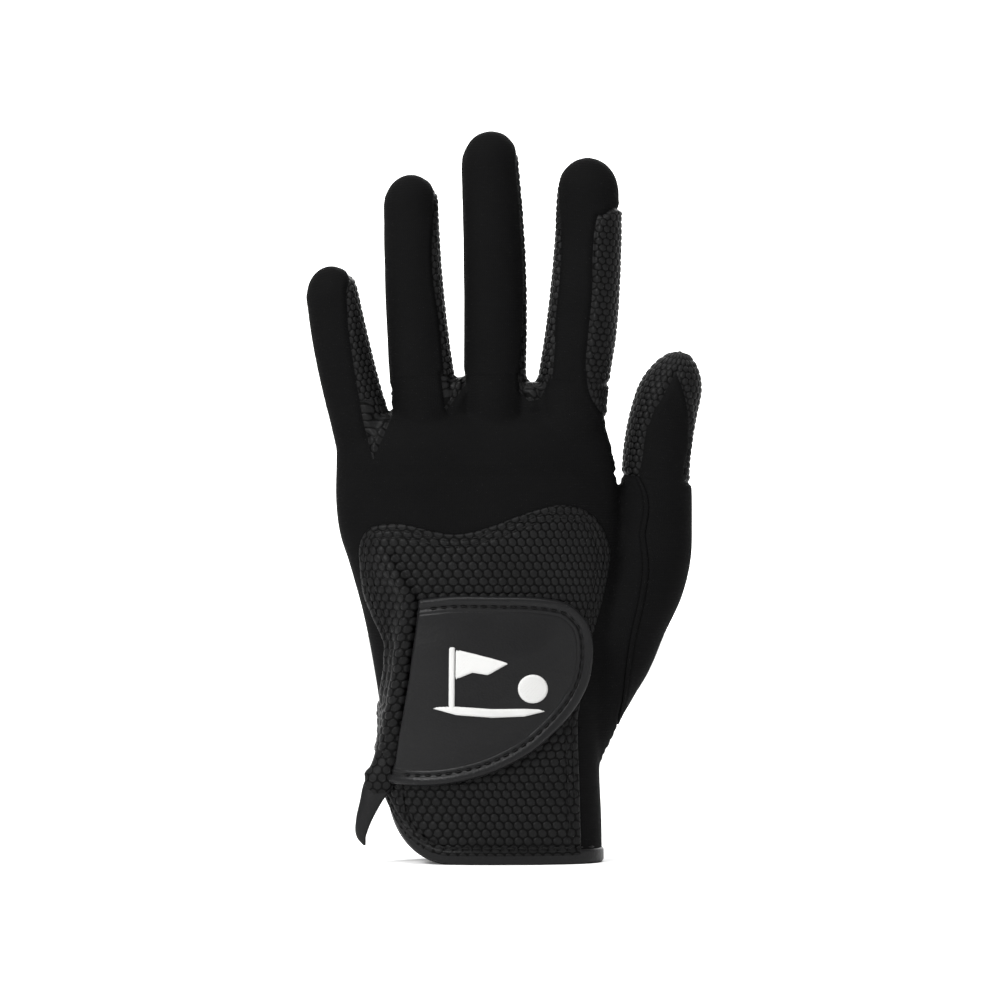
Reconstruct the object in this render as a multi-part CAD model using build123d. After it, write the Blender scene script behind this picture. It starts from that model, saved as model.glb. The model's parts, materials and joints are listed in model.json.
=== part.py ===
from build123d import *
import math
import os

# A left-hand golf glove in its worn shape, as the sewn pieces that it is made of.
#
# Frame: +Z runs from the cuff to the fingertips, +X to the thumb side and -Y to the back of the hand.
# The origin is the centre of the wrist opening, on the plane of the hem. All sizes are millimetres.
#
# The hand is lofted through flat sections. Every layer on it (fabric, yoke, loop patch, strap) lies
# between two lofts of the same sections that are grown by the layer's lower and upper level, so the
# layers fit each other whatever the hand's size. Each digit is a tube in its own leaning frame, cut
# into its sewn panels.

# ---- Overall sizes
HAND_WIDTH_SCALE = 1.0  # across the knuckles, 1.0 is a 23 cm glove
HAND_DEPTH_SCALE = 1.0
DIGIT_LENGTH_SCALE = 1.0
DIGIT_GIRTH_SCALE = 1.0

# ---- Layer levels, measured outwards from the outside of the jersey
FABRIC = 0.9
YOKE = 0.9
LOOP_PILE = 0.5
STRAP_GAP = 0.3  # between the loop pile and the hooks
HOOKS = 0.6
STRAP_LEATHER = 1.2
STRAP_EDGE_PROUD = 0.2
THREAD = 0.25
EMBROIDERY = 0.4
BINDING = 0.8
ELASTIC = 0.6

LOOP_LEVEL = YOKE + LOOP_PILE
HOOK_LEVEL = LOOP_LEVEL + STRAP_GAP
STRAP_LEVEL = HOOK_LEVEL + HOOKS
STRAP_TOP = STRAP_LEVEL + STRAP_LEATHER
STRAP_EDGE_TOP = STRAP_TOP + STRAP_EDGE_PROUD
FOLD_TOP = STRAP_EDGE_TOP - 0.3  # the fold beside the strap stays under its hinge line
BINDING_TOP = YOKE + BINDING
BINDING_INSIDE = FABRIC + ELASTIC

# ---- Hand: height, centre across, half width, centre in depth, half depth
HAND_SECTIONS = [
    (-3, 0.2, 34.2, 2.0, 19.6),
    (14, 0.0, 34.2, 2.0, 19.6),
    (30, -1.2, 34.8, 2.0, 19.4),
    (46, -1.0, 35.6, 2.4, 19.2),
    (62, -1.2, 37.2, 2.4, 18.8),
    (80, -1.8, 39.8, 2.0, 18.0),
    (97, -3.4, 42.2, 1.0, 17.0),
    (112, -5.0, 44.0, 0.4, 15.8),
    (126, -5.9, 44.2, 0.0, 14.2),
    (138, -6.8, 43.6, 0.0, 12.2),
    (145, -7.0, 42.0, 0.0, 8.0),
    (148, -7.0, 38.0, 0.0, 3.5),
]
HAND_POWER = 2.4  # 2 is an ellipse, more is squarer
SECTION_POINTS = 16

# ---- Thumb base: the same five numbers, one section per height
THUMB_BASE_SECTIONS = [
    (42, 21.0, 11.0, 6.0, 10.5),
    (60, 31.5, 14.0, 6.5, 12.5),
    (72, 38.3, 14.2, 6.5, 12.5),
    (84.5, 44.8, 14.1, 6.2, 12.2),
    (97, 48.8, 13.2, 5.8, 11.6),
    (110, 50.4, 12.0, 5.2, 11.0),
    (121.4, 51.4, 11.1, 5.0, 10.4),
]

# ---- Digits. base is the centre of the base plane, lean is to the thumb side in degrees. Half widths and
# half depths hold at the base, half way and below the rounded tip. drift moves the middle and the tip
# sideways, curl moves the tip to the palm, and cap is the height of the rounded tip.
DIGITS = {
    "pinky": dict(base=(-43.9, 0.0, 143.5), lean=-13.0, length=47.5, half_width=(9.3, 9.0, 8.0),
                  half_depth=(8.6, 8.2, 7.4), drift=(-0.4, 1.0), curl=2.9, cap=8.0),
    "ring": dict(base=(-22.5, 0.0, 152.0), lean=-4.5, length=68.5, half_width=(10.2, 8.9, 8.3),
                 half_depth=(9.4, 8.8, 7.9), drift=(-0.4, 1.2), curl=3.8, cap=8.6),
    "middle": dict(base=(-0.4, 0.0, 155.6), lean=-0.4, length=78.2, half_width=(9.9, 9.9, 8.7),
                   half_depth=(9.6, 9.2, 8.2), drift=(0.2, -1.8), curl=4.2, cap=8.8),
    "index": dict(base=(24.9, 0.0, 152.4), lean=4.6, length=73.6, half_width=(11.4, 10.6, 9.6),
                  half_depth=(9.8, 9.2, 8.2), drift=(1.3, -0.8), curl=3.8, cap=9.4),
    "thumb": dict(base=(51.5, 5.0, 122.0), lean=7.0, length=42.5, half_width=(11.0, 10.9, 9.8),
                  half_depth=(10.3, 9.9, 8.8), drift=(-0.3, 4.2), curl=1.9, cap=15.0),
}
BODY_STEPS = 4  # sections along the straight of a digit
CAP_TURNS = (0, 26, 46, 64, 80)  # degrees round the rounded tip, one section each
FINGERS = ("pinky", "ring", "middle", "index")
ROOT_LENGTH = 15.0  # how far a finger's root reaches down into the hand
ROOT_GAP = 0.4  # between a root's rim and the stall that turns on it
STALL_SIDE_GAP = 1.2  # between a stall and the fabric of the hand beside it
SEAM_OFF_CENTRE = 3.6  # half width of the side strips, measured in depth
WRAP_SEAM = 3.6  # where the index wrap patch meets the jersey, across from the finger's middle

# ---- Outlines on the back of the hand, (across, up)
STRAP_HINGE_LOW = (-30.6, 25.0)
STRAP_HINGE_HIGH = (-25.8, 85.0)
STRAP_TOP_CORNER = (12.0, 85.2)
STRAP_RIGHT = (30.4, 63.0)
STRAP_BELLY = (16.5, 38.5)
STRAP_BOTTOM = (-8.0, 27.6)
STRAP_BINDING_WIDTH = 3.6
HOOK_INSET = 7.0
YOKE_TOP = [(30.6, 71.0), (36.2, 92.5), (32.6, 109.4), (20.8, 114.9), (1.6, 108.8), (-14.0, 105.6),
            (-29.0, 109.0), (-39.8, 107.2), (-43.6, 97.0), (-38.7, 76.5), (-36.5, 66.0)]
YOKE_RIGHT = [(27.8, -4.0), (26.4, 46.0)]
SLIT_TOP = (-25.8, 88.0)
SLIT_WIDTH = 1.0
FOLD_WIDTH = 6.0
HEM_CORNER_START = (-20.0, 0.0)
HEM_CORNER_MID = (-30.0, 5.2)
HEM_CORNER_END = (-36.0, 22.0)
BINDING_WIDTH = 5.2
BINDING_FOLD = 1.0  # the hem of the fabric stops this far above the edge of the binding
ELASTIC_LOW, ELASTIC_HIGH = 30.0, 37.0
TAIL = [(-33.6, 28.4), (-41.6, 27.0), (-44.6, 18.0), (-44.2, 9.0), (-41.3, 6.0), (-39.6, 13.0),
        (-34.0, 22.6)]
TAIL_FRONT, TAIL_BACK = -9.0, -6.0
STITCH_LENGTH, STITCH_PITCH, STITCH_WIDTH = 1.9, 3.2, 0.5
STITCH_LIFT = 0.06  # keeps a straight stitch clear of the curved surface under it
INSET_STEPS = 8  # spans of a curve in an inset outline
FRONT, REAR = -60.0, 60.0  # well outside the glove, for cutting tools


def flat_section(height, across, half_width, depth, half_depth, grow, power=HAND_POWER):
    """A closed, slightly squared oval in a level plane, grown all round by grow."""
    a = half_width * HAND_WIDTH_SCALE + grow
    b = half_depth * HAND_DEPTH_SCALE + grow
    points = []
    for i in range(SECTION_POINTS):
        turn = 2 * math.pi * i / SECTION_POINTS
        c, s = math.cos(turn), math.sin(turn)
        reach = (abs(c) ** power + abs(s) ** power) ** (-1 / power)
        points.append((across * HAND_WIDTH_SCALE + a * reach * c, depth + b * reach * s, height))
    return Wire([Edge.make_spline([Vector(*p) for p in points], periodic=True)])


def only(shape):
    """The solids of a boolean result, as one compound when there are several."""
    found = [s for s in shape.solids() if s.volume > 0.02]
    return found[0] if len(found) == 1 else Compound(children=found)


_hands = {}


def hand(level):
    """The hand as one solid, its skin at this level outside the jersey."""
    if level not in _hands:
        sections = []
        for height, across, half_width, depth, half_depth in HAND_SECTIONS:
            lift = level if height > 140 else 0
            sections.append(flat_section(height + lift, across, half_width, depth, half_depth, level))
        _hands[level] = Solid.make_loft(sections, ruled=True)
    return _hands[level]


def thumb_base(level):
    """The thumb's root as one solid, from inside the palm to the thumb's own base plane."""
    sections = [flat_section(*s, level, 2.0) for s in THUMB_BASE_SECTIONS]
    return Solid.make_loft(sections, ruled=True)


def prism(outline, front=FRONT, rear=REAR):
    """A face drawn on the XZ plane, as a bar that runs through the glove in depth."""
    return Solid.extrude(outline, Vector(0, rear - front, 0)).moved(Location((0, front, 0)))


def face(*edges):
    """A face from edges drawn with (across, up) points."""
    return Face(Wire(list(edges)))


def at(point):
    return Vector(point[0] * HAND_WIDTH_SCALE, 0, point[1])


def straight(*points):
    return [Edge.make_line(at(a), at(b)) for a, b in zip(points, points[1:])]


def slab(x, y, z):
    """A box from three (low, high) pairs."""
    return Box(x[1] - x[0], y[1] - y[0], z[1] - z[0]).moved(
        Location(((x[0] + x[1]) / 2, (y[0] + y[1]) / 2, (z[0] + z[1]) / 2)))


# ---- Digits


def digit_frame(name):
    digit = DIGITS[name]
    lean = math.radians(digit["lean"])
    across, depth, height = digit["base"]
    return Plane(origin=(across * HAND_WIDTH_SCALE, depth, height),
                 x_dir=(math.cos(lean), 0, -math.sin(lean)),
                 z_dir=(math.sin(lean), 0, math.cos(lean)))


def along(values, share):
    """The smooth course of a start, middle and end value."""
    start, middle, end = values
    return (start * (1 - share) * (1 - 2 * share) + middle * 4 * share * (1 - share)
            + end * share * (2 * share - 1))


def oval(name, height, grow, shrink=1.0):
    """The closed curve round a digit at one height, in the digit's frame."""
    digit = DIGITS[name]
    share = max(0.0, height / (digit["length"] * DIGIT_LENGTH_SCALE))
    a = (along(digit["half_width"], share) * DIGIT_GIRTH_SCALE + grow) * shrink
    b = (along(digit["half_depth"], share) * DIGIT_GIRTH_SCALE + grow) * shrink
    sideways = along((0, *digit["drift"]), share)
    to_palm = digit["curl"] * share ** 2
    turns = [2 * math.pi * i / SECTION_POINTS for i in range(SECTION_POINTS)]
    points = [Vector(sideways + a * math.cos(t), to_palm + b * math.sin(t), height) for t in turns]
    return Wire([Edge.make_spline(points, periodic=True)])


def digit_solid(name, grow, root=0.0):
    """A digit in its own frame, from root below its base plane to the fingertip."""
    digit = DIGITS[name]
    cap_start = digit["length"] * DIGIT_LENGTH_SCALE - digit["cap"]
    heights = [cap_start * i / BODY_STEPS - (root if i == 0 else 0) for i in range(BODY_STEPS)]
    wires = [oval(name, height, grow) for height in heights]
    for turn in map(math.radians, CAP_TURNS):
        wires.append(oval(name, cap_start + (digit["cap"] + grow) * math.sin(turn), grow, math.cos(turn)))
    return Solid.make_loft(wires, ruled=True)


def digit_panels(name):
    """The stall of one digit as its sewn panels, in the glove's frame."""
    outer, inner = digit_solid(name, 0), digit_solid(name, -FABRIC, root=2.0)
    stall = outer - inner
    top = DIGITS[name]["length"] * DIGIT_LENGTH_SCALE + 5
    rise, wide = (0, top), (-30, 30)
    seam = SEAM_OFF_CENTRE * DIGIT_GIRTH_SCALE
    back = slab(wide, (-30, -seam), rise)
    front = slab(wide, (seam, 30), rise)
    inner_side, outer_side = slab((0, 30), (-seam, seam), rise), slab((-30, 0), (-seam, seam), rise)
    if name == "pinky":  # the jersey runs round the outer side of the little finger
        back = back + outer_side
        cuts = {"back": back, "front": front, "side_strip": inner_side}
    elif name == "index":  # the palm leather wraps the outer side as far as the back
        patch_seam = WRAP_SEAM * DIGIT_GIRTH_SCALE
        patch = slab((patch_seam, 30), (-30, seam), (0, top * 0.78))
        back = slab(wide, (-30, -seam), rise) + slab((0, 30), (-seam, seam), rise) - patch
        cuts = {"back": back, "front": front, "side_strip": outer_side, "wrap_patch": patch}
    else:
        cuts = {"back": back, "front": front,
                "side_strip_left": outer_side, "side_strip_right": inner_side}
    frame = digit_frame(name)
    return {f"{name}_{part}": only(frame.from_local_coords(only(stall & cut)))
            for part, cut in cuts.items()}


def digit_root(name, grow):
    """The fixed end of a digit: what reaches down into the hand, up to the gap under the stall."""
    rim = -ROOT_GAP if grow == 0 else 3.0
    end = Face(oval(name, -ROOT_LENGTH, grow))
    return digit_frame(name).from_local_coords(Solid.extrude(end, Vector(0, 0, ROOT_LENGTH + rim)))


def room_for(name):
    """The space above a digit's base plane, which the hand leaves to the moving stall."""
    half_width = max(DIGITS[name]["half_width"]) * DIGIT_GIRTH_SCALE + STALL_SIDE_GAP
    return digit_frame(name).from_local_coords(
        slab((-half_width, half_width), (-30, 30), (-ROOT_GAP, 60)))


# ---- Hand fabric


def hem_outline(inset):
    """What lies above the hem, the rounded corner on the little-finger side included."""
    start, mid, end = ((x + inset * 0.7 * i, z + inset * (1 - 0.35 * i)) for i, (x, z) in
                       enumerate((HEM_CORNER_START, HEM_CORNER_MID, HEM_CORNER_END)))
    corner = Edge.make_three_point_arc(at(start), at(mid), at(end))
    rest = straight(end, (-80, end[1] + 4), (-80, 200), (90, 200), (90, start[1]), start)
    return face(corner, *rest)


def slit_bar(width, low=-10.0):
    """The wrist opening, a thin bar along the line where the strap is sewn on."""
    lean = (STRAP_HINGE_HIGH[0] - STRAP_HINGE_LOW[0]) / (STRAP_HINGE_HIGH[1] - STRAP_HINGE_LOW[1])
    bottom = STRAP_HINGE_LOW[0] + (low - STRAP_HINGE_LOW[1]) * lean
    x, z = SLIT_TOP
    return face(*straight((bottom - width, low), (bottom, low), (x, z), (x - width, z),
                          (bottom - width, low)))


def right_of_slit(low=-10.0):
    lean = (STRAP_HINGE_HIGH[0] - STRAP_HINGE_LOW[0]) / (STRAP_HINGE_HIGH[1] - STRAP_HINGE_LOW[1])
    bottom = STRAP_HINGE_LOW[0] + (low - STRAP_HINGE_LOW[1]) * lean
    x, z = SLIT_TOP
    return face(*straight((bottom, low), (70, low), (70, z), (x, z), (bottom, low)))


def yoke_outline():
    top = Edge.make_spline([at(p) for p in YOKE_TOP])
    left, right = YOKE_TOP[-1], YOKE_TOP[0]
    low = YOKE_RIGHT[0][1]
    return face(top, *straight(left, (-80, left[1]), (-80, low), YOKE_RIGHT[0], YOKE_RIGHT[1], right))


def strap_outline():
    curve = Edge.make_spline([at(p) for p in (STRAP_TOP_CORNER, STRAP_RIGHT, STRAP_BELLY, STRAP_BOTTOM)],
                             tangents=[Vector(1, 0, -0.05), Vector(-1, 0, -0.12)])
    return face(curve, *straight(STRAP_BOTTOM, STRAP_HINGE_LOW, STRAP_HINGE_HIGH, STRAP_TOP_CORNER))


def inset_outline(outline, amount):
    """The outline moved inwards, its straight stretches still straight and its curves splines again."""
    edges = []
    for edge in outline.outer_wire().offset_2d(-amount).edges():
        if edge.geom_type == GeomType.LINE:
            edges.append(Edge.make_line(edge.position_at(0), edge.position_at(1)))
        else:
            steps = [i / INSET_STEPS for i in range(INSET_STEPS + 1)]
            edges.append(Edge.make_spline([edge.position_at(step) for step in steps]))
    return Face(Wire(edges))


def layer(low, high, outline):
    """A layer on the back of the hand between two levels, cut to an outline."""
    return only((hand(high) - hand(low)) & prism(outline, FRONT, 0))


def row_of_stitches(level, outline, skip=lambda p: False):
    """Separate stitches along an outline, lying on a level of the back."""
    wire = outline.outer_wire()
    count = int(wire.length / STITCH_PITCH)
    stitches = []
    for i in range(count):
        share = (i + 0.5) / count
        point, way = wire.position_at(share), wire.tangent_at(share)
        down = Axis((point.X, FRONT, point.Z), (0, 1, 0))
        met = [] if skip(point) else hand(level).find_intersection_points(down)
        if met:
            place, normal = met[0]
            bed = Plane(origin=place, x_dir=way - normal * way.dot(normal), z_dir=normal)
            stitches.append(bed.from_local_coords(Box(STITCH_LENGTH, STITCH_WIDTH, THREAD).moved(
                Location((0, 0, STITCH_LIFT + THREAD / 2)))))
    return Compound(children=stitches)


def emblem():
    """A plain golf flag beside a ball, raised embroidery on the strap."""
    pole = face(*straight((-4.6, 47.0), (-3.8, 47.0), (-3.8, 67.0), (-4.6, 67.0), (-4.6, 47.0)))
    flag = face(*straight((-3.6, 58.5), (6.5, 62.7), (-3.6, 67.0), (-3.6, 58.5)))
    ball_centre = at((8.0, 51.0))
    ball = Face(Wire([Edge.make_circle(3.0, Plane(origin=ball_centre, z_dir=(0, -1, 0)))]))
    green = face(*straight((-12.0, 45.0), (14.0, 45.0), (14.0, 46.0), (-12.0, 46.0), (-12.0, 45.0)))
    shapes = (pole, flag, ball, green)
    return Compound(children=[layer(STRAP_TOP, STRAP_TOP + EMBROIDERY, shape) for shape in shapes])


def build():
    parts = {}
    for name in DIGITS:
        parts.update(digit_panels(name))

    # One shell for the hand and the roots of the fingers, hollow from the cuff to every root.
    outer, hollow = hand(0), hand(-FABRIC)
    for name in FINGERS:
        outer = outer + digit_root(name, 0)
        hollow = hollow + digit_root(name, -FABRIC)
    thumb_outer, thumb_hollow = thumb_base(0), thumb_base(-FABRIC)
    above_hem = prism(hem_outline(BINDING_FOLD))
    shell = (outer - hollow - thumb_hollow) & above_hem
    for name in FINGERS:
        shell = shell - room_for(name)
    thumb_shell = thumb_outer - thumb_hollow - hand(0) - room_for("thumb")
    back_half, palm_half = slab((-90, 90), (FRONT, 0), (-10, 250)), slab((-90, 90), (0, REAR), (-10, 250))
    slit = prism(slit_bar(SLIT_WIDTH), FRONT, 0)

    webs = {}
    for left, right in zip(FINGERS, FINGERS[1:]):
        a, b = DIGITS[left], DIGITS[right]
        middle = (a["base"][0] + a["half_width"][0] + b["base"][0] - b["half_width"][0]) / 2
        reach = slab((middle - 4, middle + 4), (-6, 6), (139, 150))
        webs[f"web_{left}_{right}"] = only(only(shell & reach))
        shell = shell - reach
    parts.update(webs)

    flap_side = prism(right_of_slit(), FRONT, 0)
    below_slit_top = slab((-90, 90), (FRONT, 0), (-10, SLIT_TOP[1]))
    back = (shell & back_half) - slit
    flap = (back & below_slit_top) - flap_side
    parts["back_panel"] = only(back - flap)
    parts["flap_lining"] = only(flap)
    parts["palm_panel"] = only(shell & palm_half)
    parts["thumb_base_back"] = only(thumb_shell & slab((-90, 90), (FRONT, 5), (-10, 250)))
    parts["thumb_base_front"] = only(thumb_shell & slab((-90, 90), (5, REAR), (-10, 250)))

    yoke = (layer(0, YOKE, yoke_outline()) & above_hem) - slit
    yoke_flap = (yoke & below_slit_top) - flap_side
    parts["yoke_main"] = only(yoke - yoke_flap)
    parts["yoke_flap"] = only(yoke_flap)
    fold_edge = SLIT_WIDTH + FOLD_WIDTH
    fold = slit_bar(fold_edge, STRAP_HINGE_LOW[1])
    parts["flap_fold"] = only((layer(YOKE, FOLD_TOP, fold) & yoke_below_fold()) - slit)

    strap = strap_outline()
    panel = inset_outline(strap, STRAP_BINDING_WIDTH)
    parts["strap_panel"] = layer(STRAP_LEVEL, STRAP_TOP, panel)
    parts["strap_binding"] = only(layer(HOOK_LEVEL, STRAP_EDGE_TOP, strap) - prism(panel, FRONT, 0))
    hooks = inset_outline(strap, HOOK_INSET)
    parts["hook_patch"] = layer(HOOK_LEVEL, STRAP_LEVEL, hooks)
    parts["loop_patch"] = layer(YOKE, LOOP_LEVEL, inset_outline(strap, HOOK_INSET - 1.0))
    parts["strap_stitching"] = row_of_stitches(
        STRAP_EDGE_TOP, inset_outline(strap, STRAP_BINDING_WIDTH * 0.75))
    parts["emblem"] = emblem()

    made = [parts[n] for n in ("back_panel", "flap_lining", "palm_panel", "yoke_main", "yoke_flap")]
    band = (hand(BINDING_TOP) - hand(-BINDING_INSIDE)) & prism(hem_outline(0))
    band = band - prism(hem_outline(BINDING_WIDTH)) - slit
    for piece in made:
        band = band - piece
    parts["cuff_binding_back"] = only(band & back_half)
    parts["cuff_binding_palm"] = only(band & palm_half)
    elastic = (hand(-FABRIC) - hand(-BINDING_INSIDE)) & slab(
        (-90, 90), (0, REAR), (ELASTIC_LOW, ELASTIC_HIGH))
    parts["wrist_elastic"] = only(elastic)

    tail_curve = Edge.make_spline([at(p) for p in TAIL], periodic=True)
    tail = prism(Face(Wire([tail_curve])), TAIL_FRONT, TAIL_BACK) - hand(BINDING_TOP) - parts["flap_fold"]
    parts["flap_tail"] = only(tail)

    def hidden(point):
        beside_slit = point.X < SLIT_TOP[0] + 2 and point.Z < SLIT_TOP[1] + 4
        return beside_slit or point.Z < BINDING_WIDTH + 3 or strap.is_inside(point)

    rows = [row_of_stitches(YOKE, inset_outline(yoke_outline(), inset), hidden) for inset in (2.2, 4.4)]
    parts["yoke_stitching"] = Compound(children=[s for row in rows for s in row.solids()])
    return parts


def yoke_below_fold():
    """Where the fold of the flap lies: on the yoke, beside the strap."""
    return prism(yoke_outline(), FRONT, 0)


if __name__ == "__main__":
    os.makedirs("parts", exist_ok=True)
    for old in os.listdir("parts"):
        if old.endswith(".step"):
            os.remove(os.path.join("parts", old))
    for node, shape in build().items():
        export_step(shape, f"parts/{node}.step")
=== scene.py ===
import json
import math
import bpy
import numpy as np
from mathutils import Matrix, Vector, kdtree
from mathutils.bvhtree import BVHTree


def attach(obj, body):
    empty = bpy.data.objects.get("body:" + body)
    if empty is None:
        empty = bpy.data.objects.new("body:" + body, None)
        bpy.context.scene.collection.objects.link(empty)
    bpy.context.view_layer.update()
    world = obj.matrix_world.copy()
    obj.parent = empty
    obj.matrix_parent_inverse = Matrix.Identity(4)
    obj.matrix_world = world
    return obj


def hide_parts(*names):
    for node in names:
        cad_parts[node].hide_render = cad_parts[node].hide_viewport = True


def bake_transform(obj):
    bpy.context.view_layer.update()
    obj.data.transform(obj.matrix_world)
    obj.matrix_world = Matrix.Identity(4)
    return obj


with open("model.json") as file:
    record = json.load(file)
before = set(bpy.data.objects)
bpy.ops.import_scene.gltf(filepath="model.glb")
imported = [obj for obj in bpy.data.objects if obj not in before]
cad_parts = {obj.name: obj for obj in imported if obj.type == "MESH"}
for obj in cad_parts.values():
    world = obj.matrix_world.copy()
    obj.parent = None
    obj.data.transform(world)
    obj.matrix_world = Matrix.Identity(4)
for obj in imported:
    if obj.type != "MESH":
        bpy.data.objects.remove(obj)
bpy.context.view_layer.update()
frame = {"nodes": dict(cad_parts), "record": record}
mm = 0.001
jointOf = {joint["name"]: joint for joint in frame["record"]["behaviour"]["joints"]}

# the form that fills the glove: height, across, half width, depth, half depth, all in mm
handForm = {
    "power": 2.4, "points": 72, "voxel": 0.95, "smoothing": 9,
    "rows": [(-6, 0.2, 34.2, 2.0, 19.6), (14, 0.0, 34.2, 2.0, 19.6), (30, -1.2, 34.8, 2.0, 19.4),
             (46, -1.0, 35.6, 2.4, 19.2), (62, -1.2, 37.6, 2.4, 18.8), (80, -2.0, 40.4, 2.0, 18.0),
             (97, -3.9, 43.2, 1.0, 17.0), (105, -4.9, 44.8, 0.7, 16.4), (112, -5.5, 45.3, 0.4, 15.8),
             (126, -6.2, 44.9, 0.0, 14.2), (136, -6.8, 43.6, 0.0, 12.4), (141, -6.8, 41.6, 0.0, 9.4),
             (144, -6.8, 38.0, 0.0, 5.5)],
    "thumbRows": [(24, 16.6, 13.6, 3.0, 9.0), (30, 18.6, 14.4, 4.0, 11.0), (36, 21.0, 14.8, 5.0, 11.4),
                  (42, 23.8, 15.0, 5.4, 11.8), (48, 26.6, 15.3, 5.8, 12.0),
                  (54, 29.6, 15.8, 6.2, 12.5), (60, 33.2, 15.8, 6.5, 12.6), (66, 36.4, 15.4, 6.5, 12.6),
                  (72, 39.2, 15.0, 6.5, 12.5), (84.5, 45.2, 14.8, 6.2, 12.2), (97, 49.4, 13.8, 5.8, 11.6),
                  (110, 51.0, 12.6, 5.2, 11.0), (121.4, 52.0, 11.6, 5.0, 10.4)],
    "webRows": [(-11.8, 155.4, 4.0, 6.6), (11.7, 154.4, 5.0, 6.6)],
}

# every digit, in mm: where its stall starts above its hinge, the height of its rounded tip, how far the
# tip goes on past the CAD one, a sideways shift, a widening, the sideways lean of the tip, its bluntness
# as a power, and the length over which its bend is spread; then its seams as (share of the length,
# degrees round the digit), where 0 is the back and 90 the thumb side
digitForm = {
    "pinky": {"split": 4.5, "cap": 8.2, "tip": 2.2, "reach": 26,
              "right": [(0, 10), (0.05, 11), (0.23, 14.6), (0.4, 19.4), (0.58, 23.4), (0.76, 32.7), (0.85, 38),
                        (0.91, 46), (1, 72)],
              "frontLeft": [(0, -112), (0.5, -108), (1, -106)], "frontRight": [(0, 122), (0.5, 122), (1, 118)]},
    "ring": {"split": 4.5, "cap": 8.8, "tip": 1.5, "shift": -0.6, "widen": 0.35,
             "reach": 24, "left": [(0, -100), (0.5, -100), (1, -98)],
             "right": [(0, 42), (0.03, 44), (0.15, 49), (0.27, 51), (0.37, 50), (0.5, 45), (0.64, 47),
                       (0.76, 55), (0.9, 67), (1, 78)],
             "frontLeft": [(0, -128), (0.5, -126), (1, -122)], "frontRight": [(0, 126), (0.5, 124), (1, 120)]},
    "middle": {"split": 1.5, "cap": 9.0, "tip": 2.0, "shift": 0.3, "lean": 0.08, "blunt": 0.86,
               "reach": 24, "left": [(0, -98), (0.5, -98), (1, -98)],
               "right": [(0, 57), (0.04, 59), (0.15, 64), (0.25, 69), (0.37, 74), (0.57, 75), (0.8, 74),
                         (0.9, 75), (1, 82)],
               "frontLeft": [(0, -128), (0.5, -126), (1, -122)], "frontRight": [(0, 126), (0.5, 124), (1, 120)]},
    "index": {"split": 2.5, "cap": 9.6, "tip": 1.5,
              "reach": 25, "left": [(0, -39), (0.08, -41), (0.16, -44), (0.25, -50), (0.36, -53), (0.45, -52),
                                    (0.52, -54), (0.59, -55), (0.68, -60), (0.76, -74), (0.83, -84), (1, -90)],
              "right": [(0, 25), (0.032, 23), (0.09, 17.7), (0.26, 14), (0.43, 14.4), (0.58, 11), (0.7, 13),
                        (0.75, 17), (0.79, 25), (0.84, 36), (1, 60)],
              "frontLeft": [(0, -126), (0.5, -124), (1, -120)], "frontRight": [(0, 112), (0.5, 112), (1, 112)],
              "patchTop": 0.805, "patchRise": 0.7},
    "thumb": {"split": 1.5, "cap": 15.2, "tip": 1.2, "shift": 0.3, "widen": -0.2, "lean": 0.07, "blunt": 1.2,
              "reach": 18, "left": [(0, -33), (0.09, -30.6), (0.19, -27), (0.29, -27), (0.39, -26), (0.47, -22),
                                    (0.56, -19), (0.62, -13), (0.69, -9), (0.78, -4), (0.86, 3), (1.1, 3)],
              "right": [(0, 55), (0.05, 56), (0.16, 60), (0.3, 68), (0.44, 61), (0.54, 49), (0.67, 32),
                        (0.75, 21), (0.86, 3), (1.1, 3)],
              "frontLeft": [(0, -122), (0.5, -120), (1, -118)], "frontRight": [(0, 128), (0.5, 126), (1, 122)]},
}
plainDigit = {"shift": 0.0, "widen": 0.0, "lean": 0.0, "blunt": 1.0}
digitForm = {name: {**plainDigit, **shape} for name, shape in digitForm.items()}
seamKeys = ("left", "right", "frontLeft", "frontRight")
rootLevel = 1.5 * mm


def meshFrom(name, verts, faces):
    mesh = bpy.data.meshes.new(name)
    mesh.from_pydata([tuple(v) for v in verts], [], [tuple(int(i) for i in f) for f in faces])
    mesh.validate()
    obj = bpy.data.objects.new(name, mesh)
    bpy.context.scene.collection.objects.link(obj)
    return obj


def smoothStep(x, low, high):
    t = np.clip((x - low) / (high - low), 0, 1)
    return t * t * (3 - 2 * t)


def edgesOf(t):
    return np.concatenate([t[:, [0, 1]], t[:, [1, 2]], t[:, [2, 0]]])


def runLengths(path):
    # length along a line up to each of its points
    return np.concatenate([[0], np.cumsum(np.linalg.norm(np.diff(path, axis=0), axis=1))])


def alongLine(path, run, at):
    return np.stack([np.interp(at, run, path[:, i]) for i in range(2)], 1)


def ringFaces(start, rings, sides):
    # triangles of a closed tube whose rings follow each other from point number start
    faces = []
    for a in range(start, start + (rings - 1) * sides, sides):
        for i in range(sides):
            j = (i + 1) % sides
            faces += [(a + i, a + sides + j, a + sides + i), (a + i, a + j, a + sides + j)]
    last = start + (rings - 1) * sides
    for i in range(1, sides - 1):
        faces += [(start, start + i + 1, start + i), (last, last + i, last + i + 1)]
    return faces


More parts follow.
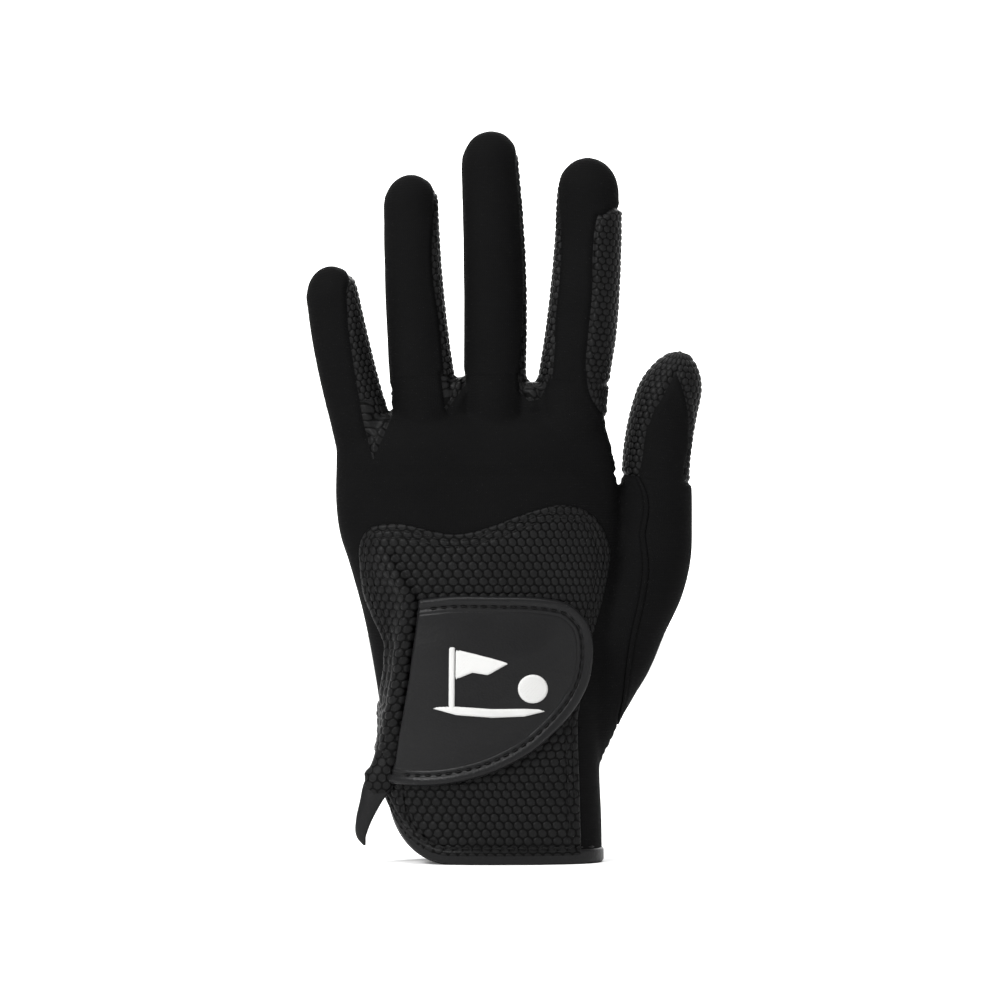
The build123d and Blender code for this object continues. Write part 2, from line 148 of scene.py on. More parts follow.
def nodeSpan(names, origin, side, up, height):
    # lowest and highest sideways and depth values of CAD nodes where they cross one level
    low, high = np.full(2, 1e9), np.full(2, -1e9)
    for name in names:
        mesh = frame["nodes"][name].data
        co = np.array([v.co for v in mesh.vertices]) - origin
        ends = np.array([e.vertices for e in mesh.edges])
        z, x, y = co @ up, co @ side, co[:, 1]
        za, zb = z[ends[:, 0]], z[ends[:, 1]]
        hit = (za - height) * (zb - height) < 0
        if hit.any():
            a, b = ends[hit, 0], ends[hit, 1]
            t = (height - z[a]) / (z[b] - z[a])
            points = np.stack([x[a] + (x[b] - x[a]) * t, y[a] + (y[b] - y[a]) * t], 1)
            low, high = np.minimum(low, points.min(0)), np.maximum(high, points.max(0))
    return low, high


def measureDigit(name):
    # the digit's own axes, length and sections, read from its hinge and its CAD panels
    joint = jointOf[name + "_flex"]
    side = -np.array(joint["axis"])
    up = np.cross(side, (0, 1, 0))
    nodes = frame["record"]["behaviour"]["bodies"][name + "_stall"]
    origin = np.array(joint["pos_m"])
    meshes = [frame["nodes"][node].data for node in nodes]
    length = max(((np.array([v.co for v in mesh.vertices]) - origin) @ up).max() for mesh in meshes)
    cap = digitForm[name]["cap"] * mm
    rows = []
    for height in np.linspace(rootLevel, length - cap, 6):
        low, high = nodeSpan(nodes, origin, side, up, height)
        rows.append((height, *((low + high) / 2), *((high - low) / 2)))
    rows = np.array(rows)
    rows[:, 1] += digitForm[name]["shift"] * mm
    rows[:, 3] += digitForm[name]["widen"] * mm
    return {"origin": origin, "side": side, "up": up, "length": length, "cap": cap, "rows": rows, "name": name,
            "reach": cap + digitForm[name]["tip"] * mm}


def digitSection(digit, height):
    rows = digit["rows"]
    height = np.asarray(height, float)
    found = [np.interp(height, rows[:, 0], rows[:, i]) for i in range(1, 5)]
    drift = (rows[-1, 1] - rows[-2, 1]) / (rows[-1, 0] - rows[-2, 0])
    beyond = np.maximum(height - rows[-1, 0], 0)
    lean = 0.6 * drift + digitForm[digit["name"]]["lean"]
    return found[0] + lean * beyond, found[1] + 0.12 * beyond, found[2], found[3]


def ovalTube(rings, points, power):
    # closed tube through (centre, side vector, half width, half depth) rings
    verts, faces = [], []
    turns = np.linspace(0, 2 * math.pi, points, endpoint=False)
    for centre, side, a, b in rings:
        c, s = np.cos(turns), np.sin(turns)
        reach = (np.abs(c) ** power + np.abs(s) ** power) ** (-1 / power)
        verts.extend(np.array(centre) + np.outer(a * reach * c, side) + np.outer(b * reach * s, (0, 1, 0)))
    for r in range(len(rings) - 1):
        for i in range(points):
            j = (i + 1) % points
            faces.append((r * points + i, r * points + j, (r + 1) * points + j, (r + 1) * points + i))
    faces.append(tuple(range(points - 1, -1, -1)))
    faces.append(tuple((len(rings) - 1) * points + i for i in range(points)))
    return verts, faces


def buildForm(digits):
    verts, faces = [], []

    def add(tube):
        start = len(verts)
        verts.extend(tube[0])
        faces.extend(tuple(i + start for i in f) for f in tube[1])

    level = np.array((1.0, 0, 0))
    for rows, power in ((handForm["rows"], handForm["power"]), (handForm["thumbRows"], 2.0)):
        rows = np.array(rows) * mm
        heights = np.linspace(rows[0, 0], rows[-1, 0], 60)
        soft = [smoothCurve(rows[:, 0], rows[:, i], heights) for i in range(1, 5)]
        rings = [((soft[0][i], soft[2][i], h), level, soft[1][i], soft[3][i]) for i, h in enumerate(heights)]
        add(ovalTube(rings, handForm["points"], power))
    for digit in digits.values():
        rings = []
        straight = digit["length"] - digit["cap"]
        rootDepth = -0.016 if digit["name"] != "thumb" else -0.012
        steps = [(h, 1.0) for h in np.linspace(rootDepth, straight, 26)]
        reach, blunt = digit["reach"], digitForm[digit["name"]]["blunt"]
        steps += [(straight + reach * math.sin(t), math.cos(t) ** blunt) for t in np.linspace(0.1, 1.53, 16)]
        for height, shrink in steps:
            x, y, a, b = digitSection(digit, max(height, rootLevel))
            centre = digit["origin"] + digit["side"] * x + np.array((0, 1, 0)) * y + digit["up"] * height
            rings.append((centre, digit["side"], a * shrink, b * shrink))
        add(ovalTube(rings, handForm["points"], 2.0))
    for x, top, a, b in np.array(handForm["webRows"]) * mm:
        turns = np.linspace(0, 1.5, 8)
        rings = [((x, 0, top - 0.02), level, a, b)]
        rings += [((x, 0, top - a + a * math.sin(t)), level, a * math.cos(t), b * math.cos(t) ** 0.5)
                  for t in turns]
        add(ovalTube(rings, handForm["points"], 2.0))
    obj = meshFrom("form", verts, faces)
    voxels = obj.modifiers.new("voxels", "REMESH")
    voxels.mode = "VOXEL"
    voxels.voxel_size = handForm["voxel"] * mm
    soften = obj.modifiers.new("soften", "SMOOTH")
    soften.factor = 0.5
    soften.iterations = handForm["smoothing"]
    obj.modifiers.new("triangles", "TRIANGULATE")
    mesh = bpy.data.meshes.new_from_object(obj.evaluated_get(bpy.context.evaluated_depsgraph_get()))
    net = {"v": np.array([v.co for v in mesh.vertices]), "t": np.array([p.vertices for p in mesh.polygons])}
    bpy.data.objects.remove(obj)
    return net


def smoothCurve(xs, ys, at):
    # Catmull-Rom through the rows
    slopes = np.gradient(ys, xs)
    k = np.clip(np.searchsorted(xs, at) - 1, 0, len(xs) - 2)
    h = xs[k + 1] - xs[k]
    t = (at - xs[k]) / h
    return (ys[k] * (2 * t ** 3 - 3 * t ** 2 + 1) + slopes[k] * h * (t ** 3 - 2 * t ** 2 + t)
            + ys[k + 1] * (3 * t ** 2 - 2 * t ** 3) + slopes[k + 1] * h * (t ** 3 - t ** 2))


def normalsOf(v, t):
    n = np.zeros_like(v)
    face = np.cross(v[t[:, 1]] - v[t[:, 0]], v[t[:, 2]] - v[t[:, 0]])
    for i in range(3):
        np.add.at(n, t[:, i], face)
    return n / np.maximum(np.linalg.norm(n, axis=1, keepdims=True), 1e-12)


def cutAlong(net, g, only=None):
    # splits triangles where g changes sign, so that the line g = 0 runs along edges
    v, n, t = net["v"], net["n"], net["t"]
    g = np.where(np.abs(g) < 1e-5, 0.0, g)
    sign = np.sign(g)
    busy = (sign[t].min(1) < 0) & (sign[t].max(1) > 0)
    if only is not None:
        busy &= only[t].all(1)
    keep, work = t[~busy], t[busy]
    tagKeep, tagWork = net["tag"][~busy], net["tag"][busy]
    if not len(work):
        net["g"] = g
        return net
    edges = edgesOf(work)
    crossed = sign[edges[:, 0]] * sign[edges[:, 1]] < 0
    key = np.sort(edges, 1)
    unique, place = np.unique(key[crossed], axis=0, return_inverse=True)
    share = g[unique[:, 0]] / (g[unique[:, 0]] - g[unique[:, 1]])
    newV = v[unique[:, 0]] + (v[unique[:, 1]] - v[unique[:, 0]]) * share[:, None]
    newN = n[unique[:, 0]] + (n[unique[:, 1]] - n[unique[:, 0]]) * share[:, None]
    newN /= np.linalg.norm(newN, axis=1, keepdims=True)
    index = np.full(len(edges), -1)
    index[crossed] = len(v) + place.reshape(-1)
    mid = index.reshape(3, -1).T  # new vertex on edges 01, 12 and 20
    out, tags = [keep], [tagKeep]
    for turn in range(3):
        p, q, r = work[:, turn], work[:, (turn + 1) % 3], work[:, (turn + 2) % 3]
        pq, qr, rp = mid[:, turn], mid[:, (turn + 1) % 3], mid[:, (turn + 2) % 3]
        two = (pq >= 0) & (rp >= 0) & (qr < 0)
        out += [np.stack([p, pq, rp], 1)[two], np.stack([pq, q, r], 1)[two], np.stack([pq, r, rp], 1)[two]]
        one = (qr >= 0) & (pq < 0) & (rp < 0)
        out += [np.stack([p, q, qr], 1)[one], np.stack([p, qr, r], 1)[one]]
        tags += [tagWork[two]] * 3 + [tagWork[one]] * 2
    return {"v": np.vstack([v, newV]), "n": np.vstack([n, newN]), "t": np.vstack(out),
            "tag": np.concatenate(tags), "g": np.concatenate([g, np.zeros(len(unique))])}


def digitLocal(digit, v):
    rel = v - digit["origin"]
    x, y, z = rel @ digit["side"], rel[:, 1], rel @ digit["up"]
    cx, cy, a, b = digitSection(digit, np.maximum(z, rootLevel))
    pole = 0.0 if digit["name"] == "thumb" else 0.6  # the seams of a fingertip meet on its palm side
    cy = cy + pole * b * smoothStep(z, digit["length"] - digit["cap"], digit["length"])
    angle = np.arctan2((x - cx) / a, -(y - cy) / b)
    return x, y, z, angle, (a + b) / 2


def lineDistance(x, z, starts, ends):
    # distance to the nearest of some straight stretches
    best = np.full(len(x), 1e9)
    for (ax, az), (bx, bz) in zip(starts, ends):
        dx, dz = bx - ax, bz - az
        share = np.clip(((x - ax) * dx + (z - az) * dz) / (dx * dx + dz * dz + 1e-18), 0, 1)
        best = np.minimum(best, (x - ax - share * dx) ** 2 + (z - az - share * dz) ** 2)
    return np.sqrt(best)


def pathField(x, z, path):
    # distance to an open line
    return lineDistance(x, z, path[:-1], path[1:])


def polygonField(x, z, outline):
    # signed distance to a closed outline, positive inside
    ends = np.roll(outline, -1, 0)
    inside = np.zeros(len(x), bool)
    for (ax, az), (bx, bz) in zip(outline, ends):
        if abs(bz - az) > 1e-12:
            inside ^= ((az > z) != (bz > z)) & (x < (z - az) * (bx - ax) / (bz - az) + ax)
    return lineDistance(x, z, outline, ends) * np.where(inside, 1, -1)


def softLine(points, steps=8):
    # a smooth line through a few points, in metres
    p = np.array(points, float) * mm
    ext = np.vstack([2 * p[0] - p[1], p, 2 * p[-1] - p[-2]])
    out = []
    for i in range(1, len(ext) - 2):
        for s in range(steps):
            t = s / steps
            a, b, c, d = ext[i - 1:i + 3]
            out.append(0.5 * (2 * b + (c - a) * t + (2 * a - 5 * b + 4 * c - d) * t ** 2
                              + (3 * b - a - 3 * c + d) * t ** 3))
    return np.array(out + [p[-1]])


def cornerLine(points):
    return np.array(points, float) * mm


# outlines on the back of the hand, across and up in mm from the centre of the hem
outlines = {
    "yokeTop": [(29.6, 66.0), (31.6, 74.7), (34.6, 86.0), (36.8, 98.4), (35.7, 104.1), (32.9, 109.8),
                (27.9, 113.5), (21.4, 114.9), (15.7, 113.9), (7.6, 111.4), (-0.6, 108.2), (-8.8, 105.9),
                (-15.3, 105.6), (-22.7, 107.2), (-30.8, 108.8), (-38.2, 108.2), (-41.4, 106.2),
                (-43.3, 102.0), (-43.3, 96.8), (-42.2, 87.0), (-39.8, 80.4), (-36.8, 73.9), (-35.4, 69.0),
                (-35.7, 62.5), (-37.0, 52.0)],
    "yokeLow": [(-60, 47), (-60, -8), (27.8, -8), (26.2, 46)],
    "strapCurve": [(-23.9, 84.9), (-12.9, 85.9), (-0.6, 85.8), (11.6, 85.5), (19.8, 84.4), (23.8, 82.8),
                   (26.6, 80.2), (28.8, 77.0), (30.0, 72.0), (30.0, 65.7), (28.8, 58.6), (26.1, 52.3),
                   (22.2, 46.5), (16.8, 40.6), (10.8, 35.5), (2.7, 30.9), (-5.5, 27.8), (-14.5, 25.8),
                   (-22.7, 25.2), (-32.9, 25.8)],
    "strapLeft": [(-30.4, 33.1), (-28.2, 46.1), (-26.3, 60.0), (-25.1, 72.3)],
    "fold": [(-32.8, 99.6), (-29.6, 95.0), (-26.3, 90.2), (-23.9, 84.9), (-25.1, 72.3), (-26.3, 60.0),
             (-28.2, 46.1), (-30.4, 33.1), (-32.9, 25.0)],
    "welt": [(45.6, 124.0), (47.9, 119.0), (48.6, 113.5), (47.7, 107.8), (47.4, 105.0), (48.2, 98.0),
             (48.3, 92.5), (46.8, 83.0), (44.8, 74.6), (43.2, 65.6), (41.5, 52.5), (40.2, 47.0),
             (39.6, 42.0)],
    "webs": {"pinky_ring": [(-42.2, 141.5), (-39.2, 129.2), (-33.4, 143.0), (-33.4, 152.0), (-44.0, 152.0)],
             "ring_middle": [(-17.4, 158.0), (-15.6, 145.2), (-9.6, 153.5), (-9.0, 166.0), (-17.0, 166.0)],
             "middle_index": [(7.6, 158.0), (8.0, 151.4), (10.8, 148.2), (14.4, 148.9), (16.6, 154.0),
                              (18.0, 166.0), (7.6, 166.0)]},
    "thumbPalm": [(36.5, 123.0), (31.0, 112.0), (25.0, 99.0), (20.5, 84.0), (19.0, 70.0), (22.0, 56.0),
                  (30.0, 47.0), (40.0, 42.0)],
    "indexSide": [(28.9, 162.0), (29.6, 155.0), (30.1, 151.9), (31.2, 148.9), (33.2, 146.0), (36.3, 142.1),
                  (60.0, 142.1), (60.0, 162.0)],
}
hemCorner = {"start": -0.0134, "width": 0.0212, "height": 0.0238, "power": 2.1}
thumbHeights = (0.043, 0.13)


def hemHeight(x):
    # the hem is level, and rises round a corner on the little-finger side
    t = np.clip((hemCorner["start"] - x) / hemCorner["width"], 0, 0.999)
    return hemCorner["height"] * (1 - np.sqrt(1 - t ** hemCorner["power"]))


def palmLine(x, z):
    rows = np.array(handForm["rows"]) * mm
    middle = np.interp(z, rows[:, 0], rows[:, 3])
    return middle + 0.002 + 0.0035 * smoothStep(x, 0.015, 0.045) * smoothStep(z, 0.03, 0.06)


def yokeOutline():
    return np.vstack([softLine(outlines["yokeTop"]), cornerLine(outlines["yokeLow"])])


def strapOutline():
    return np.vstack([softLine(outlines["strapCurve"]), cornerLine(outlines["strapLeft"])])


def acrossAt(name, z):
    # where a line that runs downwards stands at a height
    line = softLine(outlines[name])[::-1]
    return np.interp(z, line[:, 1], line[:, 0])


def atThumb(v):
    return (v[:, 2] > thumbHeights[0]) & (v[:, 2] < thumbHeights[1])


print("measuring the frame")
digits = {name: measureDigit(name) for name in digitForm}
print("building the form")
form = buildForm(digits)
form["n"] = normalsOf(form["v"], form["t"])
form["tag"] = np.zeros(len(form["t"]), int)
formTree = BVHTree.FromPolygons([Vector(p) for p in form["v"]], [tuple(int(i) for i in f) for f in form["t"]])
print("form has", len(form["v"]), "points", form["v"].min(0), form["v"].max(0))


def smoothField(t, values, rounds):
    # averages a per-point vector field over its neighbours
    values = values.copy()
    ends = edgesOf(t)
    count = np.bincount(ends.reshape(-1), minlength=len(values))[:, None]
    for _ in range(rounds):
        total = np.zeros_like(values)
        for axis in range(values.shape[1]):
            total[:, axis] = (np.bincount(ends[:, 0], values[ends[:, 1], axis], len(values))
                              + np.bincount(ends[:, 1], values[ends[:, 0], axis], len(values)))
        values = 0.5 * values + 0.5 * total / np.maximum(count, 1)
    return values / np.maximum(np.linalg.norm(values, axis=1, keepdims=True), 1e-12)


form["n"] = smoothField(form["t"], form["n"], 8)


def refine(v, n, t):
    # every triangle becomes four
    edges = np.sort(edgesOf(t), 1)
    unique, place = np.unique(edges, axis=0, return_inverse=True)
    place = place.reshape(-1) + len(v)
    count = len(t)
    ab, bc, ca = place[:count], place[count:2 * count], place[2 * count:]
    newV = (v[unique[:, 0]] + v[unique[:, 1]]) / 2
    newN = n[unique[:, 0]] + n[unique[:, 1]]
    newN /= np.linalg.norm(newN, axis=1, keepdims=True)
    a, b, c = t.T
    t = np.concatenate([np.stack(f, 1) for f in ((a, ab, ca), (ab, b, bc), (ca, bc, c), (ab, bc, ca))])
    return np.vstack([v, newV]), np.vstack([n, newN]), t


def compact(v, n, t):
    used, place = np.unique(t, return_inverse=True)
    return v[used], n[used], place.reshape(t.shape)


def openEdges(t):
    # directed edges with no opposite
    edges = edgesOf(t)
    size = int(edges.max()) + 1
    key, back = edges[:, 0] * size + edges[:, 1], edges[:, 1] * size + edges[:, 0]
    return edges[~np.isin(key, back)]


def shell(top, bottom, t):
    # closes a surface with its underside and walls, which have points of their own so that they shade apart
    count = len(top)
    rim = openEdges(t)
    used, place = np.unique(rim, return_inverse=True)
    rim = place.reshape(rim.shape) + 2 * count
    deep = rim + len(used)
    walls = np.concatenate([np.stack([rim[:, 1], rim[:, 0], deep[:, 0]], 1),
                            np.stack([rim[:, 1], deep[:, 0], deep[:, 1]], 1)])
    source = np.concatenate([np.arange(count), np.arange(count), used, used])
    faces = np.concatenate([t, t[:, ::-1] + count, walls])
    return np.vstack([top, bottom, top[used], bottom[used]]), faces, source


def hexPads(u, v, pitch):
    # distance from the nearest pad centre, as a share of the pitch
    x, y = u / pitch, v / (pitch * math.sqrt(3))
    first = np.hypot((x % 1) - 0.5, ((y % 1) - 0.5) * math.sqrt(3))
    second = np.hypot(((x + 0.5) % 1) - 0.5, (((y + 0.5) % 1) - 0.5) * math.sqrt(3))
    return np.minimum(first, second)


pads = {"pitch": 2.9 * mm, "height": 0.3 * mm, "core": 0.26, "edge": 0.49, "digitScale": 1.23}


def padHeight(u, v):
    distance = hexPads(u, v, pads["pitch"])
    dome = 1 - 0.35 * (distance / pads["edge"]) ** 2
    return pads["height"] * (1 - smoothStep(distance, pads["core"], pads["edge"])) * dome


def handSpan():
    # height, lowest and highest x of the hand, digits left out
    v = form["v"][~onAnyDigit(form["v"], 1e-5)]
    steps = np.arange(0.0, 0.150, 0.004)
    near = [v[np.abs(v[:, 2] - z) < 0.0025, 0] for z in steps]
    return np.array([(z, x.min(), x.max()) for z, x in zip(steps, near) if len(x)])


def roundHand(v, facing):
    # distance round the hand from its middle line on the palm (1) or on the back (-1)
    rows = np.array(handForm["rows"]) * mm
    span = handForm.setdefault("span", handSpan())
    middle, depth = (np.interp(v[:, 2], rows[:, 0], rows[:, i]) for i in (3, 4))
    low, high = (np.interp(v[:, 2], span[:, 0], span[:, i]) for i in (1, 2))
    half = (high - low) / 2
    deep = (v[:, 1] - middle) / np.maximum(depth, 0.009)
    turn = np.arctan2((v[:, 0] - (low + high) / 2) / half, facing * deep)
    turns = np.linspace(-math.pi, math.pi, 721)
    ring = np.stack([np.sin(turns), 0.42 * np.cos(turns)], 1)
    run = runLengths(ring)
    return np.interp(turn, turns, run - run[360]) * half


def clothMap(v, digitScale):
    # flat pattern coordinates in metres: round and up on the hand, round and along on the digits
    palmar = v[:, 1] > 0.001
    u, w = np.where(palmar, roundHand(v, 1), roundHand(v, -1)), v[:, 2].copy()
    for digit in digits.values():
        x, y, z, angle, reach = digitLocal(digit, v)
        on = nearDigit(digit, v) & (z > digitForm[digit["name"]]["split"] * mm - 1e-6)
        u[on] = (digit["origin"][0] + 0.0095 * angle * digitScale)[on]
        w[on] = (digit["origin"][2] + z * digitScale)[on]
    return u, w


def closeness(digit, v):
    rel = v - digit["origin"]
    z = rel @ digit["up"]
    cx, cy, a, b = digitSection(digit, np.maximum(z, rootLevel))
    beyond = np.maximum(z - digit["length"] + digit["cap"], 0) / digit["reach"]
    across, deep = (rel @ digit["side"] - cx) / a, (rel[:, 1] - cy) / b
    away = np.abs(np.sqrt(across ** 2 + deep ** 2 + beyond ** 2) - 1) * a
    return np.where(z > -0.004, away, 1.0)


def nearDigit(digit, v):
    mine = closeness(digit, v)
    others = np.min([closeness(d, v) for d in digits.values() if d is not digit], axis=0)
    return (mine < 0.0045) & (mine <= others)


# pieces of the skin, with the CAD nodes that each stands for, its finish and its family; pieces of one
# family meet without a seam line
skin = {
    "handBack": {"nodes": ["back_panel", "flap_lining"], "finish": "jersey", "family": "back"},
    "palm": {"nodes": ["palm_panel"], "finish": "dimpled_synthetic", "family": "palm"},
    "thumbBaseBack": {"nodes": ["thumb_base_back"], "finish": "jersey", "family": "thumbBack"},
    "thumbBaseFront": {"nodes": ["thumb_base_front"], "finish": "dimpled_synthetic", "family": "thumbFront"},
}
for pair in outlines["webs"]:
    skin["web_" + pair] = {"nodes": ["web_" + pair], "finish": "dimpled_synthetic", "family": "strip"}
places = {"Back": "back", "Front": "front", "StripLeft": "side_strip_left", "StripRight": "side_strip_right"}
singleStrips = {"pinkyStripRight": "pinky_side_strip", "indexStripLeft": "index_side_strip",
                "indexStripRight": "index_wrap_patch"}
for name in digits:
    for place, ending in places.items():
        node = singleStrips.get(name + place, f"{name}_{ending}")
        family = {"Back": "back", "Front": "palm"}
        if name == "thumb":
            family = {"Back": "thumbBack", "Front": "thumbFront"}
        skin[name + place] = {"nodes": [node] if node in frame["nodes"] else [], "digit": name,
                              "finish": "jersey" if place == "Back" else "dimpled_synthetic",
                              "family": family.get(place, "strip")}
skinNames = list(skin)


def seamAngle(shape, key, share):
    line = np.array(shape[key], float)
    return np.radians(smoothCurve(line[:, 0], line[:, 1], np.clip(share, line[0, 0], line[-1, 0])))


def cutSkin(net):
    net = dict(net)

    def cut(field, only=None):
        v = net["v"]
        net.update(cutAlong(net, field(v), only and only(v)))

    def offHand(v):
        return ~onAnyDigit(v, 1e-5)

    def behindPalm(v):
        # how far a point lies on the palm side of the panels' meeting line
        return v[:, 1] - palmLine(v[:, 0], v[:, 2])

    cut(lambda v: v[:, 2] - hemHeight(v[:, 0]))
    keep = net["g"][net["t"]].mean(1) > 0
    net["t"], net["tag"] = net["t"][keep], net["tag"][keep]
    for name, digit in digits.items():
        shape = digitForm[name]
        split = shape["split"] * mm

        def level(v):
            return digitLocal(digit, v)[2] - split

        def off(v, key):
            x, y, z, angle, reach = digitLocal(digit, v)
            return angle - seamAngle(shape, key, z / digit["length"])

        def abovePatch(v):
            x, y, z, angle, reach = digitLocal(digit, v)
            return z - patchTop(digit, angle)

        def thumbwards(v):
            angle = digitLocal(digit, v)[3]
            return nearDigit(digit, v) & (angle > 0) & (angle < 2.1)

        cut(level, lambda v: nearDigit(digit, v) & (np.abs(level(v)) < 0.004))
        for key in seamKeys:
            if key in shape:
                cut(lambda v: off(v, key) * digitLocal(digit, v)[4],
                    lambda v: nearDigit(digit, v) & (level(v) > -1e-5) & (np.abs(off(v, key)) < 0.8))
        if "patchTop" in shape:
            cut(abovePatch, thumbwards)
    cut(behindPalm, offHand)
    for pair in outlines["webs"]:
        cut(lambda v: webField(v, pair), offHand)
    cut(lambda v: v[:, 0] - acrossAt("welt", v[:, 2]),
        lambda v: atThumb(v) & offHand(v) & (v[:, 0] > 0.005) & (behindPalm(v) < 1e-6))
    cut(lambda v: v[:, 0] - acrossAt("thumbPalm", v[:, 2]),
        lambda v: atThumb(v) & offHand(v) & (v[:, 0] > 0.005) & (behindPalm(v) > -1e-6))
    cut(lambda v: polygonField(v[:, 0], v[:, 2], cornerLine(outlines["indexSide"])),
        lambda v: offHand(v) & (behindPalm(v) < 1e-6))
    return net


def patchTop(digit, angle):
    # the patch ends in a rounded top
    shape = digitForm[digit["name"]]
    start = seamAngle(shape, "right", shape["patchTop"])
    return shape["patchTop"] * digit["length"] - 0.003 * (1 - smoothStep(angle, start - 0.1, start + 0.55))


def onAnyDigit(v, slack):
    on = np.zeros(len(v), bool)
    for name, digit in digits.items():
        z = (v - digit["origin"]) @ digit["up"]
        on |= nearDigit(digit, v) & (z > digitForm[name]["split"] * mm + slack)
    return on


def webField(v, pair):
    outline = cornerLine(outlines["webs"][pair])
    dorsal = polygonField(v[:, 0], v[:, 2], outline)
    middle, low = outline[:, 0].mean(), outline[:, 1].min()
    palmar = np.minimum(0.0042 - np.abs(v[:, 0] - middle), v[:, 2] - low - 0.004)
    return np.minimum(np.where(v[:, 1] < 0.001, dorsal, palmar), 0.0055 - v[:, 1])


def labelSkin(net):
    centre = net["v"][net["t"]].mean(1)
    label = np.full(len(centre), skinNames.index("handBack"))
    palmar = centre[:, 1] > palmLine(centre[:, 0], centre[:, 2])
    side = polygonField(centre[:, 0], centre[:, 2], cornerLine(outlines["indexSide"])) > 0
    label[palmar | side] = skinNames.index("palm")
    thumb = atThumb(centre)
    pastWelt, pastPalm = (centre[:, 0] > acrossAt(line, centre[:, 2]) for line in ("welt", "thumbPalm"))
    label[thumb & ~palmar & pastWelt] = skinNames.index("thumbBaseBack")
    label[thumb & palmar & pastPalm] = skinNames.index("thumbBaseFront")
    for pair in outlines["webs"]:
        label[webField(centre, pair) > 0] = skinNames.index("web_" + pair)
    for name, digit in digits.items():
        shape = digitForm[name]
        x, y, z, angle, reach = digitLocal(digit, centre)
        on = nearDigit(digit, centre) & (z > shape["split"] * mm)
        where = {key: seamAngle(shape, key, z / digit["length"]) for key in seamKeys if key in shape}
        place = np.full(len(centre), "Back", dtype=object)
        if "left" in where:
            place[angle < where["left"]] = "StripLeft"
        place[angle > where["right"]] = "StripRight"
        place[(angle < where["frontLeft"]) | (angle > where["frontRight"])] = "Front"
        if "patchTop" in shape:
            place[(z > patchTop(digit, angle)) & (place == "StripRight")] = "Back"
        for ending in places:
            label[on & (place == ending)] = skinNames.index(name + ending)
    net["tag"] = label
    return net


def seamTree(net):
    # points along every visible seam
    groups = sorted({skin[n]["family"] for n in skinNames})
    families = np.array([groups.index(skin[n]["family"]) for n in skinNames])
    t, tag = net["t"], families[net["tag"]]
    edges = np.sort(edgesOf(t), 1)
    owner = np.tile(tag, 3)
    order = np.lexsort((edges[:, 1], edges[:, 0]))
    edges, owner = edges[order], owner[order]
    same = (edges[1:] == edges[:-1]).all(1)
    seam = edges[:-1][same & (owner[1:] != owner[:-1])]
    ends = net["v"][seam]
    points = np.vstack([ends[:, 0], ends[:, 1], ends.mean(1)])
    tree = kdtree.KDTree(len(points))
    for i, p in enumerate(points):
        tree.insert(p, i)
    tree.balance()
    return tree


def seamDistance(tree, v):
    return np.array([tree.find(p)[2] for p in v])


seamShape = {"depth": 0.42 * mm, "width": 0.75 * mm, "swell": 0.16 * mm, "swellAt": 1.9 * mm, "wall": 0.7 * mm}


def makeObject(name, verts, faces, uv, finish, body=None):
    mesh = bpy.data.meshes.new(name)
    mesh.vertices.add(len(verts))
    mesh.vertices.foreach_set("co", np.asarray(verts, np.float32).reshape(-1))
    faces = np.asarray(faces, np.int32)
    mesh.loops.add(faces.size)
    mesh.loops.foreach_set("vertex_index", faces.reshape(-1))
    mesh.polygons.add(len(faces))
    mesh.polygons.foreach_set("loop_start", np.arange(0, faces.size, faces.shape[1], dtype=np.int32))
    mesh.polygons.foreach_set("use_smooth", np.ones(len(faces), bool))
    layer = mesh.uv_layers.new(name="UVMap")
    layer.data.foreach_set("uv", np.asarray(uv, np.float32)[faces.reshape(-1)].reshape(-1))
    mesh.update()
    mesh.validate()
    obj = bpy.data.objects.new(name, mesh)
    bpy.context.scene.collection.objects.link(obj)
    mesh.materials.append(materials[finish])
    if body:
        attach(obj, body)
    return obj


def buildSkin(net, tree):
    for index, name in enumerate(skinNames):
        t = net["t"][net["tag"] == index]
        if not len(t):
            continue
        v, n, t = compact(net["v"], net["n"], t)
        dimpled = skin[name]["finish"] == "dimpled_synthetic"
        if dimpled:
            v, n, t = refine(v, n, t)
        away = seamDistance(tree, v)
        u, w = clothMap(v, pads["digitScale"] if dimpled else 1.0)
        lift = -seamShape["depth"] * np.exp(-(away / seamShape["width"]) ** 2)
        lift += seamShape["swell"] * np.exp(-((away - seamShape["swellAt"]) / seamShape["width"]) ** 2)
        digit, shape = digits.get(skin[name].get("digit")), digitForm.get(skin[name].get("digit"))
        if digit and "patchRise" in shape and name.endswith("StripRight"):
            low = shape["split"] * mm
            rise = smoothStep((v - digit["origin"]) @ digit["up"], low, low + 0.02)
            lift += shape["patchRise"] * mm * smoothStep(away, 0.1 * mm, 1.3 * mm) * rise
        top = v + n * lift[:, None]
        if dimpled:
            top += n * (padHeight(u, w) * smoothStep(away, 0.3 * mm, 1.3 * mm))[:, None]
        verts, faces, source = shell(top, v - n * seamShape["wall"], t)
        obj = makeObject(name, verts, faces, np.stack([u, w], 1)[source], skin[name]["finish"])
        if digit:
            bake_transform(obj)
        else:
            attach(obj, "hand")
        if skin[name]["nodes"]:
            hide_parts(*skin[name]["nodes"])


def backPoint(x, z, level=0.0):
    # a place on the back of the glove, and its outward direction
    hit = formTree.ray_cast(Vector((x, -0.2, z)), Vector((0, 1, 0)))
    if hit[0] is None:
        hit = formTree.find_nearest(Vector((x, -0.03, z)))
    normal = form["n"][form["t"][hit[2]]].mean(0)
    normal /= np.linalg.norm(normal)
    return np.array(hit[0]) + normal * level, normal


